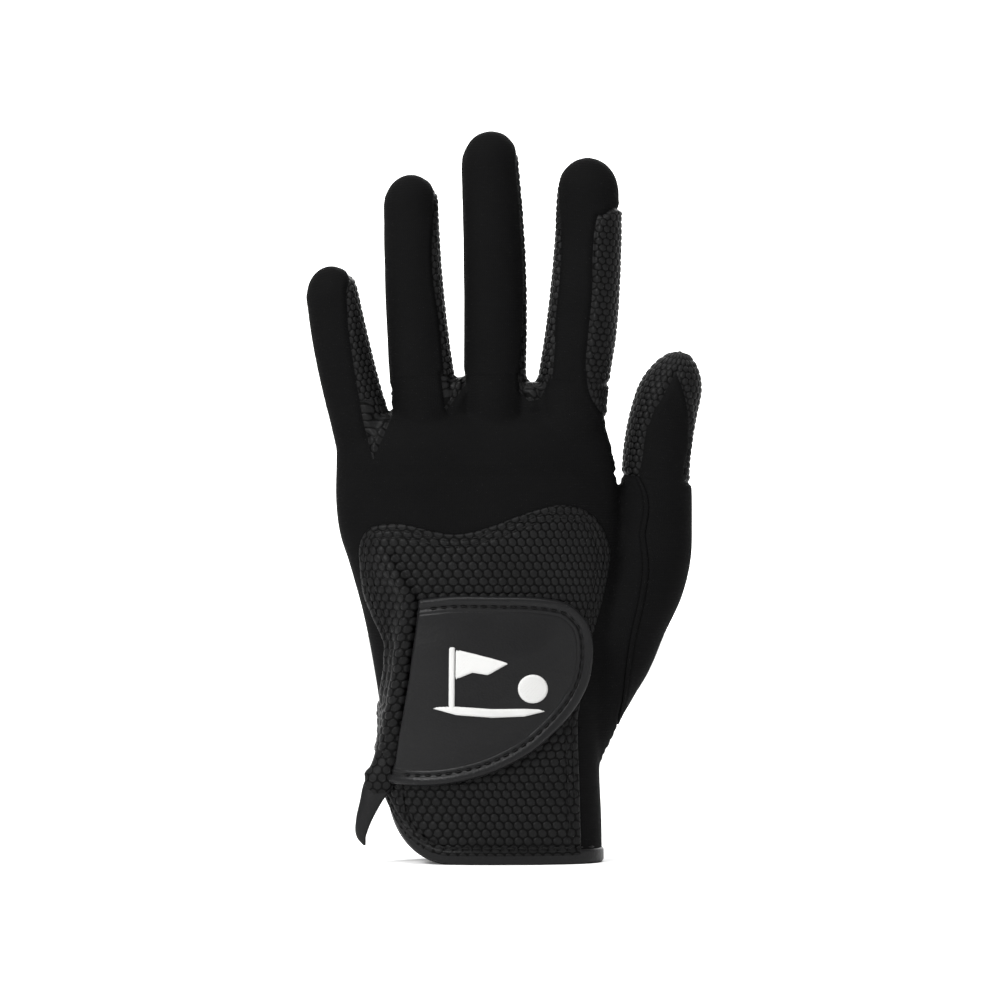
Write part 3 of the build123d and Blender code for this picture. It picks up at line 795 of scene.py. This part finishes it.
def layBand(name, field, top, bottom, finish, body, rounds=1, facing=0.45, grow=0.004, pattern=None):
    # a layer over part of the form: field gives the distance inside its outline, top its height there
    v, n, t = form["v"], form["n"], form["t"]
    chosen = (field(v)[t].max(1) > -grow) & (n[t][:, :, 1].mean(1) < facing)
    v, n, t = compact(v, n, t[chosen])
    part = cutAlong({"v": v, "n": n, "t": t, "tag": np.zeros(len(t), int)}, field(v))
    keep = part["g"][part["t"]].mean(1) > 0
    v, n, t = compact(part["v"], part["n"], part["t"][keep])
    for _ in range(rounds):
        v, n, t = refine(v, n, t)
    inside = np.maximum(field(v), 0)
    u, w = roundHand(v, -1), v[:, 2]
    height = top(inside, v)
    if pattern is not None:
        height = height + pattern(u, w, inside, v)
    verts, faces, source = shell(v + n * height[:, None], v + n * bottom, t)
    return makeObject(name, verts, faces, np.stack([u, w], 1)[source], finish, body)


def rounded(inside, low, high, width):
    # a rolled edge from low to high over the given width
    t = np.clip(inside / width, 0, 1)
    return low + (high - low) * np.sqrt(1 - (1 - t) ** 2)


def lineStations(path, spacing):
    # evenly spaced places along a line, with their directions
    run = runLengths(path)
    count = max(2, int(round(run[-1] / spacing)))
    at = (np.arange(count) + 0.5) * run[-1] / count
    ahead, behind = (alongLine(path, run, at + step) for step in (0.4 * mm, -0.4 * mm))
    return alongLine(path, run, at), ahead - behind


def evenPoints(path, spacing):
    run = runLengths(path)
    return alongLine(path, run, np.linspace(0, run[-1], int(run[-1] / spacing) + 2))


def insetPath(path, amount, outline):
    # an open stretch of an outline, moved inwards
    path = evenPoints(path, 0.7 * mm)
    way = np.gradient(path, axis=0)
    normal = np.stack([-way[:, 1], way[:, 0]], 1)
    normal /= np.linalg.norm(normal, axis=1, keepdims=True)
    moved = path + normal * amount
    if polygonField(moved[:, 0], moved[:, 1], outline).mean() < 0:
        moved = path - normal * amount
    return moved[polygonField(moved[:, 0], moved[:, 1], outline) > amount * 0.86]


stitch = {"length": 2.3 * mm, "pitch": 3.15 * mm, "radius": 0.27 * mm, "sides": 6, "rings": 5}
hemStitch = {"length": 2.6 * mm, "pitch": 3.6 * mm, "radius": 0.36 * mm, "sides": 6, "rings": 5}


def stitchRow(name, path, level, finish, body, size=stitch, skip=None):
    verts, faces = [], []
    points, ways = lineStations(path, size["pitch"])
    turns = np.linspace(0, 2 * math.pi, size["sides"], endpoint=False)
    for (x, z), (dx, dz) in zip(points, ways):
        if skip is not None and skip(x, z):
            continue
        place, normal = backPoint(x, z, level)
        way = np.array((dx, 0, dz))
        way -= normal * (way @ normal)
        way /= np.linalg.norm(way)
        across = np.cross(way, normal)
        start = len(verts)
        for r in range(size["rings"]):
            share = r / (size["rings"] - 1) * 2 - 1
            girth = size["radius"] * math.sqrt(max(1 - share ** 4, 0.03))
            centre = place + way * share * size["length"] / 2 - normal * 0.25 * mm * share ** 2
            verts.extend(centre + girth * (np.outer(np.cos(turns), across) + np.outer(np.sin(turns), normal)))
        faces += ringFaces(start, size["rings"], size["sides"])
    verts = np.array(verts)
    return makeObject(name, verts, faces, verts[:, [0, 2]], finish, body)


def tubeAlong(name, centres, normals, width, depth, finish, body, sides=12):
    # a closed flattened tube through points in space; width and depth are lists
    verts = []
    turns = np.linspace(0, 2 * math.pi, sides, endpoint=False)
    ways = np.gradient(np.array(centres), axis=0)
    for centre, normal, way, a, b in zip(centres, normals, ways, width, depth):
        way = way / np.linalg.norm(way)
        normal = normal - way * (normal @ way)
        normal /= np.linalg.norm(normal)
        across = np.cross(way, normal)
        verts.extend(centre + np.outer(np.cos(turns) * a, across) + np.outer(np.sin(turns) * b, normal))
    verts = np.array(verts)
    return makeObject(name, verts, ringFaces(0, len(centres), sides), verts[:, [0, 2]], finish, body)


yokeSize = {"rise": 0.9 * mm, "edge": 0.8 * mm, "rows": (1.9 * mm, 4.0 * mm), "foldHeight": 3.4 * mm,
            "foldAt": 3.5 * mm, "foldWidth": 3.4 * mm, "wrinkle": 0.16 * mm}


def foldLift(v):
    # the welt of the flap, its crease beside the strap and the small wrinkles left of it
    line = softLine(outlines["fold"])
    away = pathField(v[:, 0], v[:, 2], line)
    across = v[:, 0] - np.interp(v[:, 2], line[::-1, 1], line[::-1, 0])
    ridge = yokeSize["foldHeight"] * np.exp(-((across + yokeSize["foldAt"]) / yokeSize["foldWidth"]) ** 2)
    ridge *= smoothStep(-v[:, 2], -0.103, -0.088) * smoothStep(v[:, 2], 0.016, 0.03)
    crease = -0.9 * mm * np.exp(-(away / (0.8 * mm)) ** 2)
    left = smoothStep(-across, 0.0, 4 * mm)
    left *= smoothStep(-v[:, 2], -0.088, -0.07) * smoothStep(v[:, 2], 0.02, 0.03)
    wave = np.sin(v[:, 2] * 640 + v[:, 0] * 90) + 0.6 * np.sin(v[:, 2] * 1040 + 1.3)
    return ridge + crease + yokeSize["wrinkle"] * wave * left


def aboveHem(v, slack=0.0):
    return v[:, 2] - hemHeight(v[:, 0]) - slack


def buildYoke():
    outline = yokeOutline()

    def field(v):
        side = palmLine(v[:, 0], v[:, 2]) - v[:, 1] - 1.5 * mm
        return np.minimum.reduce([polygonField(v[:, 0], v[:, 2], outline), aboveHem(v, 2.5 * mm), side])

    def top(inside, v):
        grooves = sum(0.28 * mm * np.exp(-((inside - row) / (0.5 * mm)) ** 2) for row in yokeSize["rows"])
        hemAway = pathField(v[:, 0], v[:, 2], hemPath())
        grooves += 0.45 * mm * np.exp(-((hemAway - bindingSize["stitchAt"]) / (0.6 * mm)) ** 2)
        return rounded(inside, 0.05 * mm, yokeSize["rise"], yokeSize["edge"]) - grooves + foldLift(v)

    def pattern(u, w, inside, v):
        under = polygonField(v[:, 0], w, strapOutline()) > 3 * mm
        rows = np.min([np.abs(inside - row) for row in yokeSize["rows"]], 0)
        rows = np.minimum(rows, np.abs(pathField(v[:, 0], w, hemPath()) - bindingSize["stitchAt"]) - 0.3 * mm)
        clear = smoothStep(rows, 0.2 * mm, 0.9 * mm) * smoothStep(inside, 0.6 * mm, 1.4 * mm)
        return padHeight(u, w) * clear * ~under

    yoke = layBand("yoke", field, top, -0.1 * mm, "dimpled_synthetic", "hand", rounds=1, pattern=pattern)
    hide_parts("yoke_main", "yoke_flap", "flap_fold")
    strap = strapOutline()

    def hidden(x, z):
        at = np.array([x]), np.array([z])
        return polygonField(*at, strap)[0] > -0.5 * mm or z < 9 * mm or x < -44 * mm
    for i, inset in enumerate(yokeSize["rows"]):
        right = cornerLine([(27.8, 6), (26.2, 46), outlines["yokeTop"][0]])
        path = insetPath(np.vstack([right[:-1], softLine(outlines["yokeTop"])]), inset, outline)
        stitchRow(f"yokeStitchRow{i + 1}", path, yokeSize["rise"] - 0.1 * mm, "black_thread",
                              "hand", skip=hidden)
    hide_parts("yoke_stitching")


strapSize = {"under": 1.75 * mm, "top": 3.2 * mm, "edge": 1.1 * mm, "binding": 2.9 * mm, "piping": 0.5 * mm,
             "stitchAt": 3.4 * mm, "line": 4.9 * mm, "crown": 1.1 * mm, "hooksIn": 7 * mm, "loopsIn": 6 * mm}


def strapDepth(v):
    # distance from the bound edge, which leaves the sewn edge out
    return pathField(v[:, 0], v[:, 2], softLine(outlines["strapCurve"]))


def strapCrown(v):
    return strapSize["crown"] * smoothStep(strapDepth(v), 5 * mm, 20 * mm)


def buildStrap():
    outline = strapOutline()
    under, cover = strapSize["under"], strapSize["top"]

    def whole(v):
        return polygonField(v[:, 0], v[:, 2], outline)

    def roll(v):
        return rounded(whole(v), under, cover, strapSize["edge"])

    def bindingTop(inside, v):
        across = np.clip(strapDepth(v) / strapSize["binding"], 0, 1)
        return roll(v) + strapSize["piping"] * np.sin(across * math.pi) ** 0.7

    def panelTop(inside, v):
        depth = strapDepth(v)
        groove = 0.4 * mm * np.exp(-((depth - strapSize["stitchAt"]) / (0.55 * mm)) ** 2)
        line = 0.3 * mm * np.exp(-((depth - strapSize["line"]) / (0.26 * mm)) ** 2)
        return roll(v) - 0.15 * mm - groove - line + strapCrown(v)

    binding = layBand("strapBinding", lambda v: np.minimum(whole(v), strapSize["binding"] - strapDepth(v)),
                      bindingTop, under, "smooth_leather", "strap", 2)
    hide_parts("strap_binding")
    panel = layBand("strapPanel", lambda v: np.minimum(whole(v), strapDepth(v) - strapSize["binding"]),
                    panelTop, under + 0.3 * mm, "smooth_leather", "strap", 2)
    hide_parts("strap_panel")
    hooks = layBand("hookPatch", lambda v: whole(v) - strapSize["hooksIn"],
                    lambda inside, v: np.full(len(v), under + 0.35 * mm), under - 0.1 * mm,
                    "hook_tape", "strap")
    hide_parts("hook_patch")
    loops = layBand("loopPatch", lambda v: whole(v) - strapSize["loopsIn"],
                    lambda inside, v: rounded(inside, 0.8 * mm, 1.45 * mm, 0.6 * mm), 0.7 * mm,
                    "loop_tape", "hand")
    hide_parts("loop_patch")
    path = insetPath(softLine(outlines["strapCurve"]), strapSize["stitchAt"], outline)
    row = stitchRow("strapStitching", path, cover - 0.2 * mm, "black_thread", "strap")
    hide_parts("strap_stitching")


emblemSize = {"rise": 0.55 * mm, "ballAt": (11.6, 56.2), "ballRadius": 4.6, "thread": 0.42 * mm}
emblemShapes = {
    "flag": [(-12.2, 59.2), (-7.0, 61.4), (-2.2, 60.6), (4.4, 64.4), (-2.0, 66.2), (-7.4, 67.6), (-12.2, 68.8)],
    "pole": [(-14.2, 48.6), (-12.4, 48.6), (-12.4, 69.6), (-14.2, 69.6)],
    "green": [(-20.6, 50.4), (-12.0, 47.9), (-1.0, 47.0), (9.0, 47.4), (17.8, 49.6), (9.0, 49.9), (-1.0, 49.8),
              (-12.0, 50.6)],
}


def buildEmblem():
    turns = np.linspace(0, 2 * math.pi, 24, endpoint=False)
    ball = emblemSize["ballAt"] + emblemSize["ballRadius"] * np.stack([np.cos(turns), np.sin(turns)], 1)
    for name, points in {**emblemShapes, "ball": ball}.items():
        outline = cornerLine(points)

        def field(v):
            return polygonField(v[:, 0], v[:, 2], outline)

        def top(inside, v):
            slant = v[:, 0] * 0.35 + v[:, 2] if name != "pole" else v[:, 2]
            threads = 0.06 * mm * np.cos(slant / emblemSize["thread"] * 2 * math.pi)
            base = strapSize["top"] + strapCrown(v)
            return base + rounded(inside, -0.2 * mm, emblemSize["rise"], 0.7 * mm) + threads

        layBand("emblem_" + name, field, top, strapSize["top"] - 0.3 * mm, "white_thread",
                              "strap", 3, grow=0.002)
    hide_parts("emblem")


bindingSize = {"height": 4.7 * mm, "rise": 0.75 * mm, "edge": 1.3 * mm, "stitchAt": 5.4 * mm, "end": 0.0245}
elasticSize = {"low": 0.030, "high": 0.037, "ribs": 4200}


def hemPath():
    x = np.concatenate([[-0.0347], np.linspace(-0.0346, -0.0134, 50), [0.06]])
    z = hemHeight(x)
    z[0] = 0.030
    return np.stack([x, z], 1)


def buildBindings():
    hem = hemPath()
    sides = (("cuffBindingBack", "cuff_binding_back", -1), ("cuffBindingPalm", "cuff_binding_palm", 1))
    for name, node, sign in sides:
        def field(v):
            away = pathField(v[:, 0], v[:, 2], hem)
            end = np.where(v[:, 2] > 0.0205, bindingSize["end"] - v[:, 2], 1.0)
            return np.minimum.reduce([aboveHem(v), bindingSize["height"] - away, sign * (v[:, 1] - 0.002), end])

        def top(inside, v):
            away = pathField(v[:, 0], v[:, 2], hem)
            low = rounded(away, -0.9 * mm, bindingSize["rise"], bindingSize["edge"])
            return np.minimum(low, rounded(bindingSize["height"] - away, 0.0, bindingSize["rise"], 0.9 * mm))
        band = layBand(name, field, top, -1.2 * mm, "smooth_leather", "hand", 2, facing=2.0)
        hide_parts(node)
    room = np.vstack([hem, cornerLine([(60, 120), (-34.7, 120)])])
    path = insetPath(hem, bindingSize["stitchAt"], room)
    path = path[(path[:, 0] < 0.0325) & (path[:, 1] < 0.0235)]
    stitchRow("hemStitching", path, yokeSize["rise"] + 0.12 * mm, "black_thread", "hand", size=hemStitch)

    def elasticField(v):
        return np.minimum.reduce([v[:, 2] - elasticSize["low"], elasticSize["high"] - v[:, 2], v[:, 1] - 0.002])

    def elasticTop(inside, v):
        return 0.12 * mm * np.cos(v[:, 2] * elasticSize["ribs"]) - 0.75 * mm

    elastic = layBand("wristElastic", elasticField, elasticTop, -1.5 * mm, "elastic", "hand", facing=2.0)
    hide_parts("wrist_elastic")


# the loose lower corner of the flap: across, up and depth of its middle line, half width and half thickness
tailSize = {
    "flapTail": [(-36.0, 27.5, -9.0, 4.8, 1.5), (-38.4, 23.8, -9.0, 4.4, 1.5), (-40.4, 18.8, -9.0, 3.4, 1.4),
                 (-42.1, 14.0, -8.8, 2.7, 1.2), (-42.9, 9.4, -8.6, 1.9, 1.0), (-41.8, 5.8, -8.4, 0.4, 0.4)],
    "flapCorner": [(-34.4, 50.0, -5.0, 1.6, 1.6), (-34.6, 42.0, -6.0, 3.0, 3.0), (-34.9, 35.0, -7.0, 3.8, 3.6),
                   (-35.9, 29.5, -8.4, 4.8, 3.2), (-38.0, 26.0, -9.2, 5.0, 2.4), (-40.2, 23.6, -9.4, 2.4, 1.2)],
}


def buildTail():
    for name, finish in (("flapTail", "smooth_leather"), ("flapCorner", "dimpled_synthetic")):
        line = np.array(tailSize[name]) * mm
        steps = np.linspace(0, len(line) - 1, 48)
        rows = np.arange(len(line))
        x, z, y, width, thickness = (smoothCurve(rows, line[:, i], steps) for i in range(5))
        normals = [np.array((-0.35, -0.93, 0))] * len(steps)
        tail = tubeAlong(name, np.stack([x, y, z], 1), normals, width, thickness, finish, "hand", 24)
        if name == "flapTail":
            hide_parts("flap_tail")


def buildWelt():
    # the raised double seam beside the thumb
    centres, normals = zip(*(backPoint(x, z, 0.1 * mm) for x, z in softLine(outlines["welt"])[::2]))
    fade = np.sin(np.linspace(0.12, 1, len(centres)) * math.pi) ** 0.5 * 0.95 + 0.05
    tubeAlong("thumbWelt", centres, normals, 0.95 * mm * fade, 0.55 * mm * fade, "jersey", "hand", 12)


def newGroup(name, outputs, **inputs):
    # a node group with a Cloth input, its other inputs with their values, and its outputs
    group = bpy.data.node_groups.new(name, "ShaderNodeTree")
    group.interface.new_socket(name="Cloth", in_out="INPUT", socket_type="NodeSocketVector")
    for key, value in inputs.items():
        socket = group.interface.new_socket(name=key, in_out="INPUT", socket_type="NodeSocketFloat")
        socket.default_value = value
    for output in outputs:
        group.interface.new_socket(name=output, in_out="OUTPUT", socket_type="NodeSocketFloat")
    return group, group.nodes.new("NodeGroupInput"), group.nodes.new("NodeGroupOutput")


def addMath(group, kind, inputs, vector=False):
    node = group.nodes.new("ShaderNodeVectorMath" if vector else "ShaderNodeMath")
    node.operation = kind
    for i, value in enumerate(inputs):
        if isinstance(value, bpy.types.NodeSocket):
            group.links.new(value, node.inputs[i])
        else:
            node.inputs[i].default_value = value
    return node.outputs["Vector" if vector and kind != "LENGTH" else "Value"]


def hexPadGroup():
    # round pads in a honeycomb: height of the pads, and a mask of the grooves where painted shade darkens the
    # colour
    group, start, end = newGroup("hexPads", ("Height", "GrooveShade"), Pitch=0.0029)
    nodes, links = group.nodes, group.links

    def vector(kind, *inputs):
        return addMath(group, kind, inputs, vector=True)

    def number(kind, *inputs):
        return addMath(group, kind, inputs)

    tall = math.sqrt(3)
    pitch = nodes.new("ShaderNodeCombineXYZ")
    links.new(start.outputs["Pitch"], pitch.inputs[0])
    links.new(number("MULTIPLY", start.outputs["Pitch"], tall), pitch.inputs[1])
    pitch.inputs[2].default_value = 1
    cell = vector("DIVIDE", start.outputs["Cloth"], pitch.outputs[0])
    distances = []
    for shift in ((0, 0, 0), (0.5, 0.5, 0)):
        part = vector("FRACTION", vector("ADD", cell, shift))
        off = vector("MULTIPLY", vector("SUBTRACT", part, (0.5, 0.5, 0)), (1, tall, 0))
        distances.append(vector("LENGTH", off))
    step = nodes.new("ShaderNodeMapRange")
    step.interpolation_type = "SMOOTHSTEP"
    links.new(number("MINIMUM", *distances), step.inputs["Value"])
    step.inputs["From Min"].default_value = 0.36
    step.inputs["From Max"].default_value = 0.48
    links.new(step.outputs["Result"], end.inputs["GrooveShade"])
    links.new(number("SUBTRACT", 1.0, step.outputs["Result"]), end.inputs["Height"])
    return group


def grainGroup():
    # fine irregular grain: height, and a slow variation of tone
    group, start, end = newGroup("fineGrain", ("Grain", "Drift"), Scale=900.0)
    nodes, links = group.nodes, group.links
    cells = nodes.new("ShaderNodeTexVoronoi")
    links.new(start.outputs["Cloth"], cells.inputs["Vector"])
    links.new(start.outputs["Scale"], cells.inputs["Scale"])
    links.new(cells.outputs["Distance"], end.inputs["Grain"])
    drift = nodes.new("ShaderNodeTexNoise")
    drift.inputs["Scale"].default_value = 60
    drift.inputs["Detail"].default_value = 3
    links.new(start.outputs["Cloth"], drift.inputs["Vector"])
    links.new(drift.outputs["Fac"], end.inputs["Drift"])
    return group


def knitGroup():
    # wales and courses of a fine jersey
    group, start, end = newGroup("fineKnit", ("Height",), Wale=0.0008)
    split = group.nodes.new("ShaderNodeSeparateXYZ")
    group.links.new(start.outputs["Cloth"], split.inputs[0])

    def number(kind, *inputs):
        return addMath(group, kind, inputs)

    turn = number("DIVIDE", 2 * math.pi, start.outputs["Wale"])
    wale = number("SINE", number("MULTIPLY", split.outputs[0], turn))
    zig = number("MULTIPLY", wale, 0.9)
    climb = number("MULTIPLY", split.outputs[1], number("MULTIPLY", turn, 0.8))
    course = number("SINE", number("ADD", climb, zig))
    rib = number("MULTIPLY", number("ABSOLUTE", wale), 0.6)
    group.links.new(number("ADD", rib, number("MULTIPLY", course, 0.4)), end.inputs["Height"])
    return group


finishes = {
    "jersey": {"tone": (0.0026, 0.0026, 0.0027), "light": (0.0040, 0.0040, 0.0041), "rough": 0.75,
               "gloss": 0.022, "wale": 0.0007, "relief": 0.00012},
    # the groove colour of dimpled_synthetic is painted shade in the grooves between the pads
    "dimpled_synthetic": {"tone": (0.0046, 0.0046, 0.0047), "light": (0.0088, 0.0088, 0.0090), "rough": 0.42,
                          "gloss": 0.060, "groove": (0.0003, 0.0003, 0.0003), "grain": 2200, "relief": 0.00035},
    "smooth_leather": {"tone": (0.0046, 0.0046, 0.0049), "light": (0.0072, 0.0072, 0.0075), "rough": 0.38,
                       "gloss": 0.13, "grain": 1500, "relief": 0.0001},
    "elastic": {"tone": (0.006, 0.006, 0.006), "light": (0.010, 0.010, 0.010), "rough": 0.85, "gloss": 0.1,
                "sheen": 0.05, "wale": 0.0011, "relief": 0.0003},
    "hook_tape": {"tone": (0.008, 0.008, 0.008), "light": (0.016, 0.016, 0.016), "rough": 0.6, "gloss": 0.2,
                  "wale": 0.0013, "relief": 0.0003},
    "loop_tape": {"tone": (0.006, 0.006, 0.006), "light": (0.012, 0.012, 0.012), "rough": 0.9, "gloss": 0.1,
                  "sheen": 0.1, "wale": 0.0013, "relief": 0.0003},
    "black_thread": {"tone": (0.0022, 0.0022, 0.0022), "light": (0.0045, 0.0045, 0.0045), "rough": 0.6,
                     "gloss": 0.12, "grain": 5000, "relief": 0.0001},
    "white_thread": {"tone": (0.40, 0.40, 0.395), "light": (0.56, 0.56, 0.55), "rough": 0.6, "gloss": 0.2,
                     "grain": 5000, "relief": 0.0001},
}


def makeMaterials():
    hexPadNode, grainNode, knitNode = hexPadGroup(), grainGroup(), knitGroup()
    made = {}
    for name, look in finishes.items():
        material = bpy.data.materials.new(name)
        material.use_nodes = True
        nodes, links = material.node_tree.nodes, material.node_tree.links
        shader = nodes["Principled BSDF"]
        shader.inputs["Roughness"].default_value = look["rough"]
        shader.inputs["Specular IOR Level"].default_value = look["gloss"]
        shader.inputs["Sheen Weight"].default_value = look.get("sheen", 0.0)
        shader.inputs["Sheen Roughness"].default_value = 0.5
        cloth = nodes.new("ShaderNodeUVMap")
        cloth.uv_map = "UVMap"
        grain = nodes.new("ShaderNodeGroup")
        grain.node_tree = grainNode
        links.new(cloth.outputs["UV"], grain.inputs["Cloth"])
        tone = nodes.new("ShaderNodeMix")
        tone.data_type = "RGBA"
        tone.inputs["A"].default_value = (*look["tone"], 1)
        tone.inputs["B"].default_value = (*look["light"], 1)
        links.new(grain.outputs["Drift"], tone.inputs["Factor"])
        colour = tone.outputs["Result"]
        bump = nodes.new("ShaderNodeBump")
        bump.inputs["Strength"].default_value = 0.5
        bump.inputs["Distance"].default_value = look["relief"]
        grain.inputs["Scale"].default_value = look.get("grain", 900)
        links.new(bump.outputs["Normal"], shader.inputs["Normal"])
        if "groove" in look:
            hexes = nodes.new("ShaderNodeGroup")
            hexes.node_tree = hexPadNode
            hexes.inputs["Pitch"].default_value = pads["pitch"]
            links.new(cloth.outputs["UV"], hexes.inputs["Cloth"])
            # painted shade: the grooves between the pads are darkened towards the groove colour
            paintedGrooveShade = nodes.new("ShaderNodeMix")
            paintedGrooveShade.data_type = "RGBA"
            links.new(hexes.outputs["GrooveShade"], paintedGrooveShade.inputs["Factor"])
            links.new(colour, paintedGrooveShade.inputs["A"])
            paintedGrooveShade.inputs["B"].default_value = (*look["groove"], 1)
            colour = paintedGrooveShade.outputs["Result"]
            links.new(hexes.outputs["Height"], bump.inputs["Height"])
            fine = nodes.new("ShaderNodeBump")
            fine.inputs["Strength"].default_value = 0.25
            fine.inputs["Distance"].default_value = 0.00008
            links.new(grain.outputs["Grain"], fine.inputs["Height"])
            links.new(bump.outputs["Normal"], fine.inputs["Normal"])
            links.new(fine.outputs["Normal"], shader.inputs["Normal"])
        elif "wale" in look:
            knit = nodes.new("ShaderNodeGroup")
            knit.node_tree = knitNode
            knit.inputs["Wale"].default_value = look["wale"]
            links.new(cloth.outputs["UV"], knit.inputs["Cloth"])
            links.new(knit.outputs["Height"], bump.inputs["Height"])
        else:
            links.new(grain.outputs["Grain"], bump.inputs["Height"])
        links.new(colour, shader.inputs["Base Color"])
        made[name] = material
    return made


studio = {
    "frameWidth": 0.32, "lens": 200.0, "sensor": 36.0, "centre": (0.0016, 0.1165), "world": 0.55,
    "floor": {"Base Color": (0.93, 0.93, 0.93, 1), "Roughness": 0.9},
    "backdrop": {"Base Color": (0.9, 0.9, 0.9, 1), "Emission Color": (1, 1, 1, 1), "Emission Strength": 1.0},
    "aim": (0, 0, 0.12),
    "lamps": {"key": {"at": (-1.0, -1.2, 1.2), "size": 0.6, "power": 40.0},
              "fill": {"at": (1.3, -1.3, 0.7), "size": 0.9, "power": 4.0},
              "top": {"at": (-0.1, -0.2, 1.6), "size": 0.8, "power": 16.0},
              "rim": {"at": (0.2, 1.4, 0.9), "size": 0.9, "power": 10.0}},
}


def makeSheet(name, look, corners, settings):
    # one flat sheet of the studio
    material = bpy.data.materials.new(look)
    material.use_nodes = True
    for socket, value in settings.items():
        material.node_tree.nodes["Principled BSDF"].inputs[socket].default_value = value
    sheet = meshFrom(name, corners, [(0, 1, 2, 3)])
    sheet.data.materials.append(material)
    return sheet


def buildStudio():
    scene = bpy.context.scene
    scene.view_settings.view_transform = "Standard"
    camera = bpy.data.cameras.new("camera")
    camera.lens = studio["lens"]
    camera.sensor_width = studio["sensor"]
    holder = bpy.data.objects.new("camera", camera)
    distance = studio["lens"] / studio["sensor"] * studio["frameWidth"]
    holder.location = (studio["centre"][0], -distance - 0.012, studio["centre"][1])
    holder.rotation_euler = (math.pi / 2, 0, 0)
    scene.collection.objects.link(holder)
    scene.camera = holder
    floor = makeSheet("floor", "paper", [(-3, -3, 0), (3, -3, 0), (3, 3, 0), (-3, 3, 0)], studio["floor"])
    world = bpy.data.worlds.new("studio")
    world.use_nodes = True
    world.node_tree.nodes["Background"].inputs["Color"].default_value = (1, 1, 1, 1)
    world.node_tree.nodes["Background"].inputs["Strength"].default_value = studio["world"]
    scene.world = world
    wall = [(-6, 3, -0.2), (6, 3, -0.2), (6, 3, 6), (-6, 3, 6)]
    backdrop = makeSheet("backdrop", "backdrop", wall, studio["backdrop"])
    for name, lamp in studio["lamps"].items():
        light = bpy.data.lights.new(name, "AREA")
        light.size = lamp["size"]
        light.energy = lamp["power"]
        stand = bpy.data.objects.new(name, light)
        stand.location = lamp["at"]
        way = Vector(studio["aim"]) - Vector(lamp["at"])
        stand.rotation_euler = way.to_track_quat("-Z", "Y").to_euler()
        scene.collection.objects.link(stand)


print("cutting the panels")
materials = makeMaterials()
net = cutSkin(form)
net = labelSkin(net)
tree = seamTree(net)
print("making the skin from", len(net["t"]), "faces")
buildSkin(net, tree)
print("laying the yoke and the strap")
buildYoke()
buildStrap()
buildEmblem()
buildBindings()
buildTail()
buildWelt()
print("setting the studio")
buildStudio()
